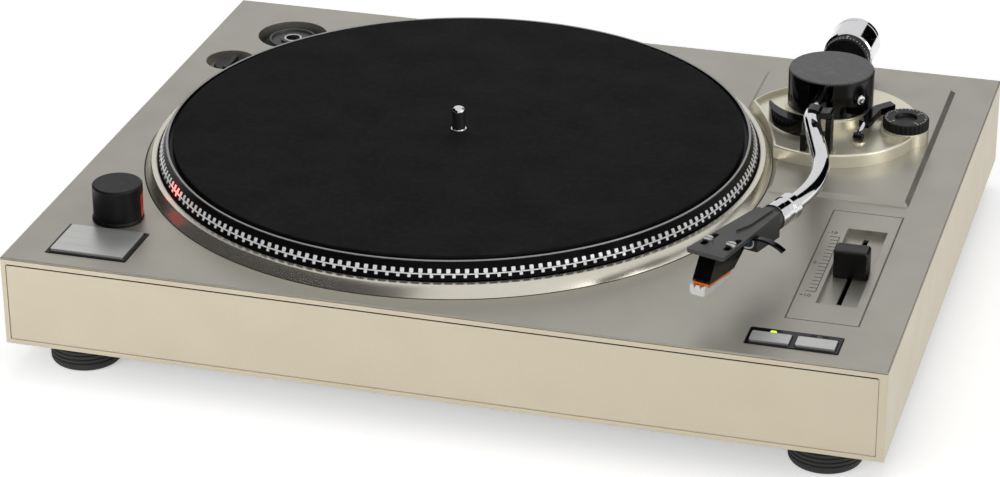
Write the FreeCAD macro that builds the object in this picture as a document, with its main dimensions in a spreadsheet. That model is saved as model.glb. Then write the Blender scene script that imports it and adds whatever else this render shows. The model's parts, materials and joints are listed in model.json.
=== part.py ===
import FreeCAD, Part
import math
import os
import Sketcher
from FreeCAD import Vector

# A belt driven record player with an S shaped arm, in millimetres.
# The origin is on the ground under the middle of the plinth: X points right, Y back, Z up.
# Heights called above or below are counted from the top face of the deck.

SIZES = {
    # Plinth and feet.
    "plinth_width": 450.0,
    # The plan follows the width, so that platter, arm and controls keep their places.
    "plan_scale": "=plinth_width / 450",
    "axis_mark": 10.0,
    "plinth_depth": "=352 * plan_scale",
    "plinth_height": 48.5,
    "foot_height": 16.5,
    "wall_thickness": 4.0,
    "seam_height": 0.4,
    "seam_depth": 0.8,
    "cover_thickness": 3.0,
    "post_size": 9.0,
    "trim_gap": 0.3,
    "running_clearance": 0.04,
    "sheet_wall": 1.6,
    "screw_radius": 1.6,
    "screw_head_radius": 3.2,
    "screw_head_height": 1.8,
    "screw_slot": 0.7,
    "foot_x": "=192.5 * plan_scale",
    "foot_y": "=150 * plan_scale",
    "foot_radius": 18.5,
    "foot_round": 3.0,
    "foot_ribs": 6,
    "foot_rib_share": 0.6,
    "foot_slope_share": 0.8,
    "foot_rib_depth": 1.0,
    "foot_stud_radius": 3.0,
    # Front panel in its recess.
    "panel_rim_left": 2.5,
    "panel_rim_right": 4.0,
    "panel_rim_low": 2.5,
    "panel_drop": 3.7,
    "panel_corner": 1.2,
    "panel_sink": 1.6,
    "panel_thickness": 1.3,
    "panel_groove": 0.8,
    # Deck, collar and platter well.
    "deck_thickness": 3.5,
    "deck_lip": 0.8,
    "deck_bevel": 0.4,
    "platter_x": "=-38 * plan_scale",
    "platter_y": "=0.8 * plan_scale",
    "well_radius": "=160 * plan_scale",
    "well_depth": 14.0,
    "well_floor_thickness": 2.5,
    "collar_foot_radius": "=166.4 * plan_scale",
    "collar_top_radius": "=163.1 * plan_scale",
    "collar_height": 6.0,
    "bearing_hole_radius": 11.0,
    # Plateau under the arm.
    "plateau_inner_radius": "=166.8 * plan_scale",
    "plateau_height": 2.3,
    "plateau_left": "=97 * plan_scale",
    "plateau_right": "=203.4 * plan_scale",
    "plateau_front": "=1.3 * plan_scale",
    "plateau_back": "=152.5 * plan_scale",
    # Platter.
    "rim_skirt_radius": "=159.2 * plan_scale",
    "skirt_drop": 2.0,
    "skirt_top": 6.6,
    "skirt_wall": 4.5,
    "lower_dot_radius": "=158.6 * plan_scale",
    "lower_dot_low": 7.4,
    "upper_dot_radius": "=157.9 * plan_scale",
    "lower_dot_high": 9.0,
    "bright_line_radius": "=157.4 * plan_scale",
    "upper_dot_low": 9.7,
    "shoulder_radius": "=156.4 * plan_scale",
    "shoulder_height": 11.5,
    "lip_radius": "=155 * plan_scale",
    "lip_width": 1.45,
    "lip_height": 15.0,
    "web_top": 12.9,
    "web_thickness": 3.0,
    "hub_radius": 16.0,
    "hub_drop": 2.0,
    "belt_rim_radius": "=91 * plan_scale",
    "belt_rim_wall": 3.0,
    "belt_rim_drop": 6.0,
    "window_reach": "=52 * plan_scale",
    "window_radius": 15.0,
    "window_count": 5,
    "mat_radius": "=151.5 * plan_scale",
    "mat_thickness": 3.0,
    "mat_edge": 0.8,
    "mat_bore_gap": 0.4,
    # Spindle and bearing.
    "spindle_radius": 3.6,
    "spindle_hub_radius": 4.2,
    "spindle_shoulder": 0.2,
    "spindle_rise": 12.5,
    "spindle_round": 2.4,
    "flange_radius": 9.0,
    "flange_height": 2.0,
    "bearing_depth": 18.0,
    "bearing_radius": 9.5,
    "bearing_flange_radius": 22.0,
    "sleeve_radius": 7.0,
    "thrust_pad": 2.0,
    "deck_screw_reach": 16.5,
    "deck_screw_azimuth": 30.0,
    "deck_screws": 3,
    # Motor, pulley and belt.
    "motor_reach": "=118 * plan_scale",
    "motor_azimuth": 135.0,
    "motor_radius": 17.5,
    "motor_height": 20.0,
    "motor_hole_radius": 7.0,
    "motor_shaft_radius": 1.2,
    "motor_shaft_depth": 8.0,
    "pulley_radius": 6.0,
    "pulley_lip": 1.0,
    "belt_gap": 0.3,
    "belt_thickness": 0.7,
    "belt_width": 5.0,
    "belt_drop": 5.0,
    # Strobe tower.
    "tower_x": "=-184.6 * plan_scale",
    "tower_y": "=-117.2 * plan_scale",
    "tower_radius": 13.0,
    "tower_height": 19.5,
    "tower_edge": 1.2,
    "tower_stem_radius": 5.0,
    "tower_stem_drop": 4.0,
    "window_azimuth": 27.5,
    "window_low": 2.0,
    "window_height": 12.5,
    "window_width": 14.0,
    "window_sink": 4.0,
    "window_face_sink": 0.2,
    # Mains knob in its dish.
    "power_x": "=-200.8 * plan_scale",
    "power_y": "=89.5 * plan_scale",
    "power_dish_radius": 13.7,
    "power_dish_depth": 6.0,
    "knob_radius": 9.5,
    "knob_height": 3.6,
    "knob_edge": 0.8,
    "knob_ridge_width": 3.2,
    "knob_ridge_height": 1.6,
    "knob_shaft_radius": 2.5,
    "knob_shaft_drop": 6.0,
    "switch_size": 18.0,
    "switch_height": 14.0,
    # Start and speed buttons.
    "start_x": "=-183.75 * plan_scale",
    "start_y": "=-148.4 * plan_scale",
    "start_width": 42.9,
    "start_depth": 32.8,
    "speed_left": "=153.6 * plan_scale",
    "speed_right": "=198.8 * plan_scale",
    "speed_y": "=-156.7 * plan_scale",
    "speed_depth": 16.6,
    "speed_bar": 2.2,
    "lamp_strip": 5.2,
    "lamp_length": 8.0,
    "lamp_width": 2.2,
    "lamp_sink": 0.2,
    "bezel_rim": 1.5,
    "bezel_seat": 2.0,
    "bezel_rise": 0.4,
    "bezel_corner": 1.0,
    "button_gap": 0.4,
    "button_rise": 1.5,
    "button_lip": 1.0,
    "button_corner": 0.8,
    "button_stem_radius": 3.0,
    "button_travel": 1.2,
    "board_drop": 13.0,
    "board_thickness": 1.6,
    "board_margin": 4.0,
    "board_post_inset": 5.0,
    "board_post_radius": 2.6,
    # Pitch fader.
    "panel_left": "=166.8 * plan_scale",
    "panel_right": "=203.6 * plan_scale",
    "panel_front": "=-135 * plan_scale",
    "panel_back": "=-11 * plan_scale",
    "groove_width": 0.8,
    "groove_depth": 0.4,
    "fader_x": "=188.4 * plan_scale",
    "fader_pocket_width": 20.2,
    "fader_pocket_depth": 3.6,
    "fader_front": "=-115.5 * plan_scale",
    "fader_back": "=-30.5 * plan_scale",
    "fader_slot_width": 2.6,
    "fader_slot_front": "=-108 * plan_scale",
    "fader_slot_back": "=-34 * plan_scale",
    "fader_case_width": 12.0,
    "fader_case_height": 11.0,
    "fader_case_end": 6.0,
    "fader_stem_depth": 6.0,
    "cap_y": "=-74.9 * plan_scale",
    "cap_width": 15.6,
    "cap_depth": 9.2,
    "cap_lift": 0.6,
    "cap_height": 14.4,
    "cap_corner": 1.0,
    "cap_grip": 3.0,
    "cap_ridge": 2.4,
    "cap_overrun": 1.0,
    "cap_stem_length": 6.0,
    "stem_clearance": 0.3,
    # Single adaptor in its dish.
    "adaptor_x": "=-178.7 * plan_scale",
    "adaptor_y": "=133.5 * plan_scale",
    "adaptor_dish_radius": 19.9,
    "adaptor_dish_depth": 12.0,
    "adaptor_radius": 19.0,
    "adaptor_lift": 0.3,
    "adaptor_drop": 1.7,
    "adaptor_rim_height": 5.0,
    "adaptor_step": 1.2,
    "adaptor_ring_radius": 13.5,
    "adaptor_hub_radius": 7.0,
    "adaptor_bore": 3.65,
    # Back: sockets, earth terminal and mains inlet.
    "jack_x": "=-150 * plan_scale",
    "jack_low": 31.0,
    "jack_panel_width": 74.0,
    "jack_panel_height": 20.0,
    "jack_count": 2,
    "jack_pitch": 18.0,
    "jack_radius": 4.2,
    "jack_bore": 1.8,
    "jack_bore_depth": 4.0,
    "jack_flange_radius": 5.6,
    "jack_flange_depth": 6.0,
    "jack_sink": 0.5,
    "ground_radius": 4.4,
    "ground_reach": 21.6,
    "inlet_x": "=160 * plan_scale",
    "inlet_low": 33.0,
    "inlet_width": 20.0,
    "inlet_height": 14.0,
    "inlet_depth": 18.0,
    "inlet_wall": 1.8,
    "inlet_pin_reach": 4.3,
    "inlet_pin_radius": 1.2,
    "inlet_pin_sink": 1.0,
    # Boards and transformer inside.
    "board_x": "=-60 * plan_scale",
    "board_y": "=95 * plan_scale",
    "main_board_width": 120.0,
    "main_board_depth": 60.0,
    "standoff": 3.0,
    "capacitors": 3,
    "capacitor_radius": 5.0,
    "capacitor_height": 10.0,
    "transformer_x": "=120 * plan_scale",
    "transformer_width": 46.0,
    "transformer_depth": 30.0,
    "transformer_height": 26.0,
    "transformer_winding": 5.0,
    "transformer_gap": 5.0,
    "transformer_back": "=plinth_depth / 2 - inlet_depth - transformer_gap",
    "transformer_y": "=transformer_back - transformer_winding - transformer_depth",
    # Arm base.
    "arm_x": "=144.3 * plan_scale",
    "arm_y": "=92.6 * plan_scale",
    "tray_from_arm_x": 3.3,
    "tray_x": "=arm_x + tray_from_arm_x",
    "tray_from_arm_y": -13.2,
    "tray_y": "=arm_y + tray_from_arm_y",
    "tray_radius": 47.5,
    "tray_height": 7.4,
    "tray_recess": 2.5,
    "tray_rim": 1.4,
    "tray_edge": 1.0,
    "lobe_rise": 0.3,
    "pillar_radius": 8.0,
    "nut_radius": 13.0,
    "nut_height": 5.0,
    "seat_radius": 24.4,
    "seat_height": 5.9,
    "seat_step": 1.0,
    # Turret and gimbal.
    "turret_gap": 0.3,
    "turret_radius": 22.8,
    "turret_height": 19.4,
    "turret_floor": 2.1,
    "turret_pin_radius": 5.0,
    "cavity_radius": 9.6,
    "lane_half": 6.6,
    "lid_height": 0.8,
    "cap_edge": 0.4,
    "pivot_rise": 22.2,
    "arm_slope": 2.14,
    "gimbal_angle": 14.0,
    "niche_radius": 4.6,
    "niche_depth_radius": 13.6,
    "pivot_shank_radius": 1.5,
    "pivot_head_radius": 3.2,
    "pivot_head_length": 3.0,
    "pivot_tip_radius": 6.6,
    "pivot_clearance": 0.05,
    "block_radius": 8.6,
    "block_half_height": 5.5,
    "block_wall": 4.0,
    "block_bridge": 2.0,
    # Tube, weight and locking collar.
    "tube_radius": 4.7,
    "tube_bore": 3.8,
    "tube_x": -1.5,
    "first_corner": 48.2,
    "first_bend": 16.7,
    "first_bend_radius": 60.0,
    "bend_reach": 83.0,
    "second_bend_radius": 104.0,
    "head_angle": 17.5,
    "head_reach": 55.0,
    "shaft_radius": 4.0,
    "weight_front": 41.4,
    "weight_back": 73.5,
    "weight_radius": 13.6,
    "weight_cap": 4.0,
    "weight_edge": 0.8,
    "weight_groove": 0.8,
    "force_dial_radius": 12.4,
    "force_dial_length": 6.5,
    "dial_gap": 0.3,
    "lock_radius": 6.9,
    "lock_length": 18.6,
    "lock_waist": 0.6,
    "collar_gap": 0.3,
    # Headshell, pickup and guard.
    "shell_rear_width": 12.6,
    "shell_front_width": 20.7,
    "shell_length": 66.0,
    "shell_corner": 1.0,
    "shell_plate_low": 4.0,
    "shell_plate_thickness": 2.0,
    "shell_ring_length": 4.0,
    "shell_ring_radius": 6.2,
    "shell_block_width": 13.0,
    "shell_block_length": 26.0,
    "shell_block_drop": 7.2,
    "shell_ridge_width": 5.0,
    "shell_ridge_length": 36.0,
    "shell_ridge_height": 0.9,
    "shell_slot_width": 3.2,
    "shell_slot_behind": 9.0,
    "shell_slot_ahead": 6.0,
    "shell_slot_start": "=shell_screw_reach - shell_slot_behind",
    "shell_slot_end": "=shell_screw_reach + shell_slot_ahead",
    "shell_slot_flat": 0.03,
    "shell_screw_reach": 52.0,
    "screw_spacing": 12.7,
    "pickup_width": 9.4,
    "pickup_front": 68.5,
    "pickup_back": 36.0,
    "pickup_back_height": 6.0,
    "pickup_heel": 45.0,
    "pickup_drop": 8.6,
    "pickup_lean": 6.5,
    "pickup_toe": 1.2,
    "ear_reach": 2.2,
    "ear_half_length": 5.0,
    "ear_front": "=shell_screw_reach + ear_half_length",
    "ear_back": "=shell_screw_reach - ear_half_length",
    "ear_height": 3.0,
    "pickup_screw_radius": 1.2,
    "pickup_head_radius": 2.5,
    "pickup_head_height": 1.5,
    "stylus_width": 8.6,
    "stylus_front": 68.5,
    "stylus_back": 47.5,
    "stylus_height": 1.4,
    "stylus_tip_reach": 60.0,
    "cantilever_width": 0.6,
    "tip_drop": 2.4,
    "guard_width": 8.4,
    "guard_drop": 14.2,
    "guard_gap": 0.3,
    "guard_front": 71.9,
    "guard_back": 48.0,
    "guard_wall": 0.9,
    "guard_nose_height": 6.0,
    "lead_pitch": 2.6,
    "lead_sag": 1.6,
    "lead_level": -1.0,
    "lead_radius": 0.45,
    "lead_gap": 0.25,
    "finger_width": 3.4,
    "finger_back": 31.0,
    "finger_thickness": 1.2,
    "finger_root": 5.2,
    "finger_tab": 8.5,
    "finger_crown": 13.0,
    "finger_drop": 21.5,
    "finger_sweep": 33.0,
    # Counterforce dial on the lobe.
    "dial_from_arm_x": 43.7,
    "dial_x": "=arm_x + dial_from_arm_x",
    "dial_from_arm_y": -13.6,
    "dial_y": "=arm_y + dial_from_arm_y",
    "dial_radius": 12.3,
    "dial_height": 5.0,
    "dial_edge": 0.7,
    "dial_dish_radius": 6.0,
    "dial_dish_depth": 1.6,
    "knurl_radius": 0.9,
    "knurl_count": 30,
    # Arm rest and its clip.
    "rest_from_arm_x": 11.3,
    "rest_x": "=arm_x + rest_from_arm_x",
    "rest_from_arm_y": -58.6,
    "rest_y": "=arm_y + rest_from_arm_y",
    "rest_width": 16.1,
    "rest_depth": 8.0,
    "rest_wall": 3.0,
    "saddle_gap": 0.35,
    "clip_gap": 3.1,
    "clip_radius": 6.4,
    "clip_thickness": 2.2,
    "clip_sag": 2.5,
    "clip_reach": 2.0,
    "clip_from_arm_x": 0.7,
    "clip_x": "=arm_x + clip_from_arm_x",
    "clip_inset": 0.4,
    "clip_link_reach": 4.5,
    "clip_link_height": 3.2,
    "knuckle_radius": 1.8,
    # Arm lift and its lever.
    "lift_inner_radius": 34.0,
    "lift_outer_radius": 42.0,
    "lift_start": 211.0,
    "lift_end": 260.0,
    "lift_taper": 14.0,
    "lift_gap": 0.4,
    "lift_seat": 0.3,
    "lever_from_arm_x": 21.8,
    "lever_x": "=arm_x + lever_from_arm_x",
    "lever_from_arm_y": -33.4,
    "lever_y": "=arm_y + lever_from_arm_y",
    "lever_angle": 10.0,
    "lever_boss_radius": 4.0,
    "lever_boss_height": 0.8,
    "lever_hub_radius": 1.9,
    "lever_hub_length": 5.0,
    "lever_rod_width": 2.2,
    "lever_rod_length": 7.5,
    "lever_rise": 4.0,
    "lever_grip_width": 5.6,
    "lever_bend": 26.0,
    "lever_inner_bend": 29.0,
    "lever_inner_step": 1.0,
    "lever_end_shift": 5.2,
    "lever_end_reach": 8.5,
    "lever_end_width": 4.4,
    "lever_end_slant": 3.5,
    "lever_grip_height": 4.0,
}


doc = FreeCAD.newDocument("RecordPlayer")


class Size:
    """A length, count or angle: its text for the document's formulas, and its value now."""

    def __init__(self, text, value):
        self.text = text
        self.value = value

    def __add__(self, other):
        other = as_size(other)
        return Size(f"({self.text} + {other.text})", self.value + other.value)

    def __sub__(self, other):
        other = as_size(other)
        return Size(f"({self.text} - {other.text})", self.value - other.value)

    def __mul__(self, other):
        other = as_size(other)
        return Size(f"({self.text} * {other.text})", self.value * other.value)

    def __truediv__(self, other):
        other = as_size(other)
        return Size(f"({self.text} / {other.text})", self.value / other.value)

    def __neg__(self):
        return Size(f"(0 - {self.text})", -self.value)

    def __radd__(self, other):
        return as_size(other) + self

    def __rsub__(self, other):
        return as_size(other) - self

    def __rmul__(self, other):
        return as_size(other) * self


def as_size(number):
    """Let a plain number stand beside the named sizes."""
    if isinstance(number, Size):
        return number
    return Size(f"({float(number)!r})", float(number))


def sine(angle):
    angle = as_size(angle)
    return Size(f"sin({angle.text})", math.sin(math.radians(angle.value)))


def cosine(angle):
    angle = as_size(angle)
    return Size(f"cos({angle.text})", math.cos(math.radians(angle.value)))


def tangent(angle):
    angle = as_size(angle)
    return Size(f"tan({angle.text})", math.tan(math.radians(angle.value)))


def root(number):
    return Size(f"sqrt({number.text})", math.sqrt(number.value))


class Sheet:
    """The driving sizes in the document's own sheet, each read by its name."""

    def __init__(self, sizes):
        self.cells = doc.addObject("Spreadsheet::Sheet", "Sizes")
        for row, (name, value) in enumerate(sizes.items(), start=1):
            self.cells.set(f"A{row}", name)
            self.cells.set(f"B{row}", str(value))
            self.cells.setAlias(f"B{row}", name)
        doc.recompute()

    def __getattr__(self, name):
        return Size(f"Sizes.{name}", float(getattr(self.cells, name)))


class Frame:
    """A place and direction in the room, or in another frame, as a formula."""

    def __init__(self, x=0, y=0, z=0, turn="rotationz(0)", inside=None):
        x, y, z = as_size(x), as_size(y), as_size(z)
        own = f"placement(vector({x.text}; {y.text}; {z.text}); {turn})"
        self.text = own if inside is None else f"{inside.text} * {own}"


def turned(axis, angle):
    """The formula of a rotation about one axis."""
    return f"rotation{axis}({as_size(angle).text})"


def new_body(label, frame):
    body = doc.addObject("PartDesign::Body", label)
    body.Label = label
    body.setExpression("Placement", frame.text)
    return body


def sketch(body, plane="XY_Plane", lift=0):
    """A sketch on one of the body's own planes, lifted along that plane's normal."""
    drawing = body.newObject("Sketcher::SketchObject", "Sketch")
    support = next(each for each in body.Origin.OriginFeatures if each.Role == plane)
    drawing.AttachmentSupport = (support, [""])
    drawing.MapMode = "FlatFace"
    drawing.setExpression("AttachmentOffset.Base.z", as_size(lift).text)
    return drawing


def fix(drawing, constraint, size):
    """Add a dimension to a sketch and tie it to a size."""
    index = drawing.addConstraint(constraint)
    drawing.setExpression(f"Constraints[{index}]", as_size(size).text)


def profile(drawing, points, arcs=(), closed=True):
    """An outline through the points; arcs gives (centre, radius, left turning) by index."""
    points = [(as_size(x), as_size(y)) for x, y in points]
    arcs = dict(arcs)
    count = len(points)
    edges = count if closed else count - 1
    first = drawing.GeometryCount
    ends = []
    for index in range(edges):
        start = Vector(points[index][0].value, points[index][1].value, 0)
        other = points[(index + 1) % count]
        end = Vector(other[0].value, other[1].value, 0)
        if index not in arcs:
            drawing.addGeometry(Part.LineSegment(start, end), False)
            ends.append((1, 2))
            continue
        centre, radius, left = arcs[index]
        centre = Vector(as_size(centre[0]).value, as_size(centre[1]).value, 0)
        low, high = (start, end) if left else (end, start)
        low_angle = math.atan2(low.y - centre.y, low.x - centre.x)
        high_angle = math.atan2(high.y - centre.y, high.x - centre.x)
        ring = Part.Circle(centre, Vector(0, 0, 1), as_size(radius).value)
        drawing.addGeometry(Part.ArcOfCircle(ring, low_angle, high_angle), False)
        ends.append((1, 2) if left else (2, 1))
    for index in range(edges if closed else edges - 1):
        follower = (index + 1) % count
        drawing.addConstraint(Sketcher.Constraint(
            "Coincident", first + index, ends[index][1], first + follower, ends[follower][0]))
    for index, (x, y) in enumerate(points):
        geometry, end = (first + index, ends[index][0]) if index < edges else (first + edges - 1, ends[-1][1])
        fix(drawing, Sketcher.Constraint("DistanceX", geometry, end, x.value), x)
        fix(drawing, Sketcher.Constraint("DistanceY", geometry, end, y.value), y)
    for index, (centre, radius, left) in arcs.items():
        radius = as_size(radius)
        fix(drawing, Sketcher.Constraint("Radius", first + index, radius.value), radius)
    return drawing


def rectangle(drawing, left, front, right, back):
    return profile(drawing, [(left, front), (right, front), (right, back), (left, back)])


def rounded(drawing, left, front, right, back, radius):
    """A rectangle with round corners."""
    corners = [(right - radius, front + radius), (right - radius, back - radius),
               (left + radius, back - radius), (left + radius, front + radius)]
    points = [(left + radius, front), (right - radius, front), (right, front + radius),
              (right, back - radius), (right - radius, back), (left + radius, back),
              (left, back - radius), (left, front + radius)]
    arcs = {2 * index + 1: (centre, radius, True) for index, centre in enumerate(corners)}
    return profile(drawing, points, arcs)


def circle(drawing, x, y, radius):
    x, y, radius = as_size(x), as_size(y), as_size(radius)
    ring = Part.Circle(Vector(x.value, y.value, 0), Vector(0, 0, 1), radius.value)
    index = drawing.addGeometry(ring, False)
    fix(drawing, Sketcher.Constraint("DistanceX", index, 3, x.value), x)
    fix(drawing, Sketcher.Constraint("DistanceY", index, 3, y.value), y)
    fix(drawing, Sketcher.Constraint("Radius", index, radius.value), radius)
    return drawing


def pad(body, drawing, length, down=False):
    feature = body.newObject("PartDesign::Pad", "Pad")
    feature.Profile = drawing
    feature.Reversed = down
    feature.setExpression("Length", as_size(length).text)
    return feature


def pocket(body, drawing, depth=None, up=False):
    """Cut the sketch downwards from its plane, or upwards, or right through both ways."""
    feature = body.newObject("PartDesign::Pocket", "Pocket")
    feature.Profile = drawing
    if depth is None:
        feature.Type = 1
        feature.Midplane = True
    else:
        feature.Reversed = up
        feature.setExpression("Length", as_size(depth).text)
    return feature


def revolve(body, drawing, axis="V_Axis"):
    feature = body.newObject("PartDesign::Revolution", "Revolution")
    feature.Profile = drawing
    feature.ReferenceAxis = (drawing, [axis])
    feature.Angle = 360
    return feature


def turned_body(label, frame, points, arcs=()):
    """A body turned about its upright axis from an outline of radii and heights."""
    body = new_body(label, frame)
    revolve(body, profile(sketch(body, "XZ_Plane"), points, arcs))
    return body


def around(body, feature, drawing, count, angle=360):
    """Repeat a feature round the sketch's own normal."""
    pattern = body.newObject("PartDesign::PolarPattern", "PolarPattern")
    pattern.Originals = [feature]
    pattern.Axis = (drawing, ["N_Axis"])
    pattern.Angle = angle
    pattern.setExpression("Occurrences", as_size(count).text)
    body.Tip = pattern
    return pattern


S = Sheet(SIZES)

# Levels and places that several pieces share.
deck = S.foot_height + S.plinth_height
deck_under = deck - S.deck_thickness
lip_under = deck - S.deck_lip
half_width = S.plinth_width / 2
half_depth = S.plinth_depth / 2
inner_half_width = half_width - S.wall_thickness
inner_half_depth = half_depth - S.wall_thickness
cover_top = S.foot_height + S.cover_thickness
well_floor = deck - S.well_depth
well_under = well_floor - S.well_floor_thickness
bore_radius = S.spindle_radius + S.running_clearance
collar_top = deck + S.collar_height
platter_place = (S.platter_x, S.platter_y)
motor_x = S.platter_x + S.motor_reach * cosine(S.motor_azimuth)
motor_y = S.platter_y + S.motor_reach * sine(S.motor_azimuth)
motor_frame = Frame(motor_x, motor_y, 0)
adaptor_frame = Frame(S.adaptor_x, S.adaptor_y, 0)
power_frame = Frame(S.power_x, S.power_y, 0)
platter_frame = Frame(S.platter_x, S.platter_y, 0)
start_left = S.start_x - S.start_width / 2
start_right = S.start_x + S.start_width / 2
start_front = S.start_y - S.start_depth / 2
start_back = S.start_y + S.start_depth / 2
speed_front = S.speed_y - S.speed_depth / 2
speed_back = S.speed_y + S.speed_depth / 2
fader_left = S.fader_x - S.fader_pocket_width / 2
fader_right = S.fader_x + S.fader_pocket_width / 2
fader_floor = deck - S.fader_pocket_depth
fader_floor_under = fader_floor - S.sheet_wall


def top_plate():
    """The cast deck with its collar, platter well, arm plateau, dishes and cut-outs."""
    body = new_body("top_plate", Frame())
    x = inner_half_width - S.trim_gap
    y = inner_half_depth - S.trim_gap
    plate = rectangle(sketch(body, lift=deck_under), -x, -y, x, y)
    circle(plate, *platter_place, S.well_radius)
    pad(body, plate, S.deck_thickness - S.deck_lip)

    # Its thin lip lies on the walls.
    lip = rectangle(sketch(body, lift=lip_under), -half_width, -half_depth, half_width, half_depth)
    circle(lip, *platter_place, S.well_radius)
    pad(body, lip, S.deck_lip - S.deck_bevel)
    bevel_low = deck - S.deck_bevel
    bevel = rectangle(sketch(body, lift=bevel_low), -half_width, -half_depth, half_width, half_depth)
    circle(bevel, *platter_place, S.well_radius)
    pad(body, bevel, S.deck_bevel).TaperAngle = -45

    # The collar leans in round the platter, and the well hangs below it.
    ring = sketch(body, "XZ_Plane", -S.platter_y)
    ring_points = [
        (S.bearing_hole_radius, well_under), (S.well_radius + S.sheet_wall, well_under),
        (S.well_radius + S.sheet_wall, deck_under), (S.collar_foot_radius, deck_under),
        (S.collar_foot_radius, deck), (S.collar_top_radius, collar_top),
        (S.well_radius, collar_top), (S.well_radius, well_floor), (S.bearing_hole_radius, well_floor)]
    profile(ring, [(S.platter_x + radius, height) for radius, height in ring_points])
    revolve(body, ring, axis_through(ring, S.platter_x))

    # The plateau for the arm follows the collar on its left.
    reach = S.plateau_inner_radius
    left = S.plateau_left
    front = S.plateau_front
    left_back = S.platter_y + root(reach * reach - (left - S.platter_x) * (left - S.platter_x))
    front_left = S.platter_x + root(reach * reach - (front - S.platter_y) * (front - S.platter_y))
    outline = [(front_left, front), (S.plateau_right, front), (S.plateau_right, S.plateau_back),
               (left, S.plateau_back), (left, left_back)]
    plateau = profile(sketch(body, lift=deck), outline, {4: (platter_place, reach, False)})
    pad(body, plateau, S.plateau_height).TaperAngle = -45

    # Dishes hang under the deck for the single adaptor, the mains knob and the fader.
    for x, y, radius, depth in ((S.adaptor_x, S.adaptor_y, S.adaptor_dish_radius, S.adaptor_dish_depth),
                                (S.power_x, S.power_y, S.power_dish_radius, S.power_dish_depth)):
        hang = circle(sketch(body, lift=deck_under), x, y, radius + S.sheet_wall)
        pad(body, hang, depth + S.sheet_wall - S.deck_thickness, down=True)
        pocket(body, circle(sketch(body, lift=deck), x, y, radius), depth)
    hang = rectangle(sketch(body, lift=deck_under), fader_left - S.sheet_wall, S.fader_front - S.sheet_wall,
                     fader_right + S.sheet_wall, S.fader_back + S.sheet_wall)
    pad(body, hang, deck_under - fader_floor_under, down=True)
    dish = rectangle(sketch(body, lift=deck), fader_left, S.fader_front, fader_right, S.fader_back)
    pocket(body, dish, S.fader_pocket_depth)
    slot = rectangle(sketch(body, lift=fader_floor), S.fader_x - S.fader_slot_width / 2, S.fader_slot_front,
                     S.fader_x + S.fader_slot_width / 2, S.fader_slot_back)
    pocket(body, slot)

    # The fader's engraved frame is a shallow groove.
    groove = rectangle(sketch(body, lift=deck), S.panel_left, S.panel_front, S.panel_right, S.panel_back)
    rectangle(groove, S.panel_left + S.groove_width, S.panel_front + S.groove_width,
              S.panel_right - S.groove_width, S.panel_back - S.groove_width)
    pocket(body, groove, S.groove_depth)

    # Recesses for the two button frames, with their openings.
    gap = S.trim_gap
    recess = rectangle(sketch(body, lift=deck), start_left - gap, start_front - gap,
                       start_right + gap, start_back + gap)
    pocket(body, recess, S.bezel_seat)
    opening = rectangle(sketch(body, lift=deck), start_left + S.bezel_rim, start_front + S.bezel_rim,
                        start_right - S.bezel_rim, start_back - S.bezel_rim)
    pocket(body, opening, S.deck_thickness)
    recess = rectangle(sketch(body, lift=deck), S.speed_left - gap, speed_front - gap,
                       S.speed_right + gap, speed_back + gap)
    pocket(body, recess, S.bezel_seat)
    opening = rectangle(sketch(body, lift=deck), S.speed_left + S.bezel_rim, speed_front + S.bezel_rim,
                        S.speed_right - S.bezel_rim, speed_back - S.bezel_rim)
    pocket(body, opening, S.deck_thickness)

    # Round holes for the strobe tower's stem, the mains knob's shaft and the arm's pillar.
    for x, y, radius in ((S.tower_x, S.tower_y, S.tower_stem_radius + S.trim_gap),
                         (S.power_x, S.power_y, S.knob_shaft_radius + S.trim_gap),
                         (S.arm_x, S.arm_y, S.pillar_radius + S.trim_gap),
                         (motor_x, motor_y, S.motor_hole_radius)):
        pocket(body, circle(sketch(body, lift=deck), x, y, radius))
    screw_ring = sketch(body, lift=well_floor)
    for x, y in deck_screw_places():
        circle(screw_ring, S.platter_x + x, S.platter_y + y, S.screw_radius)
    pocket(body, screw_ring, S.well_floor_thickness)
    return body


def deck_screw_places():
    """Where the bearing's screws stand, from the platter's axis."""
    count = int(S.deck_screws.value)
    angles = [S.deck_screw_azimuth + 360 * place / count for place in range(count)]
    return [(S.deck_screw_reach * cosine(angle), S.deck_screw_reach * sine(angle)) for angle in angles]


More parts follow.
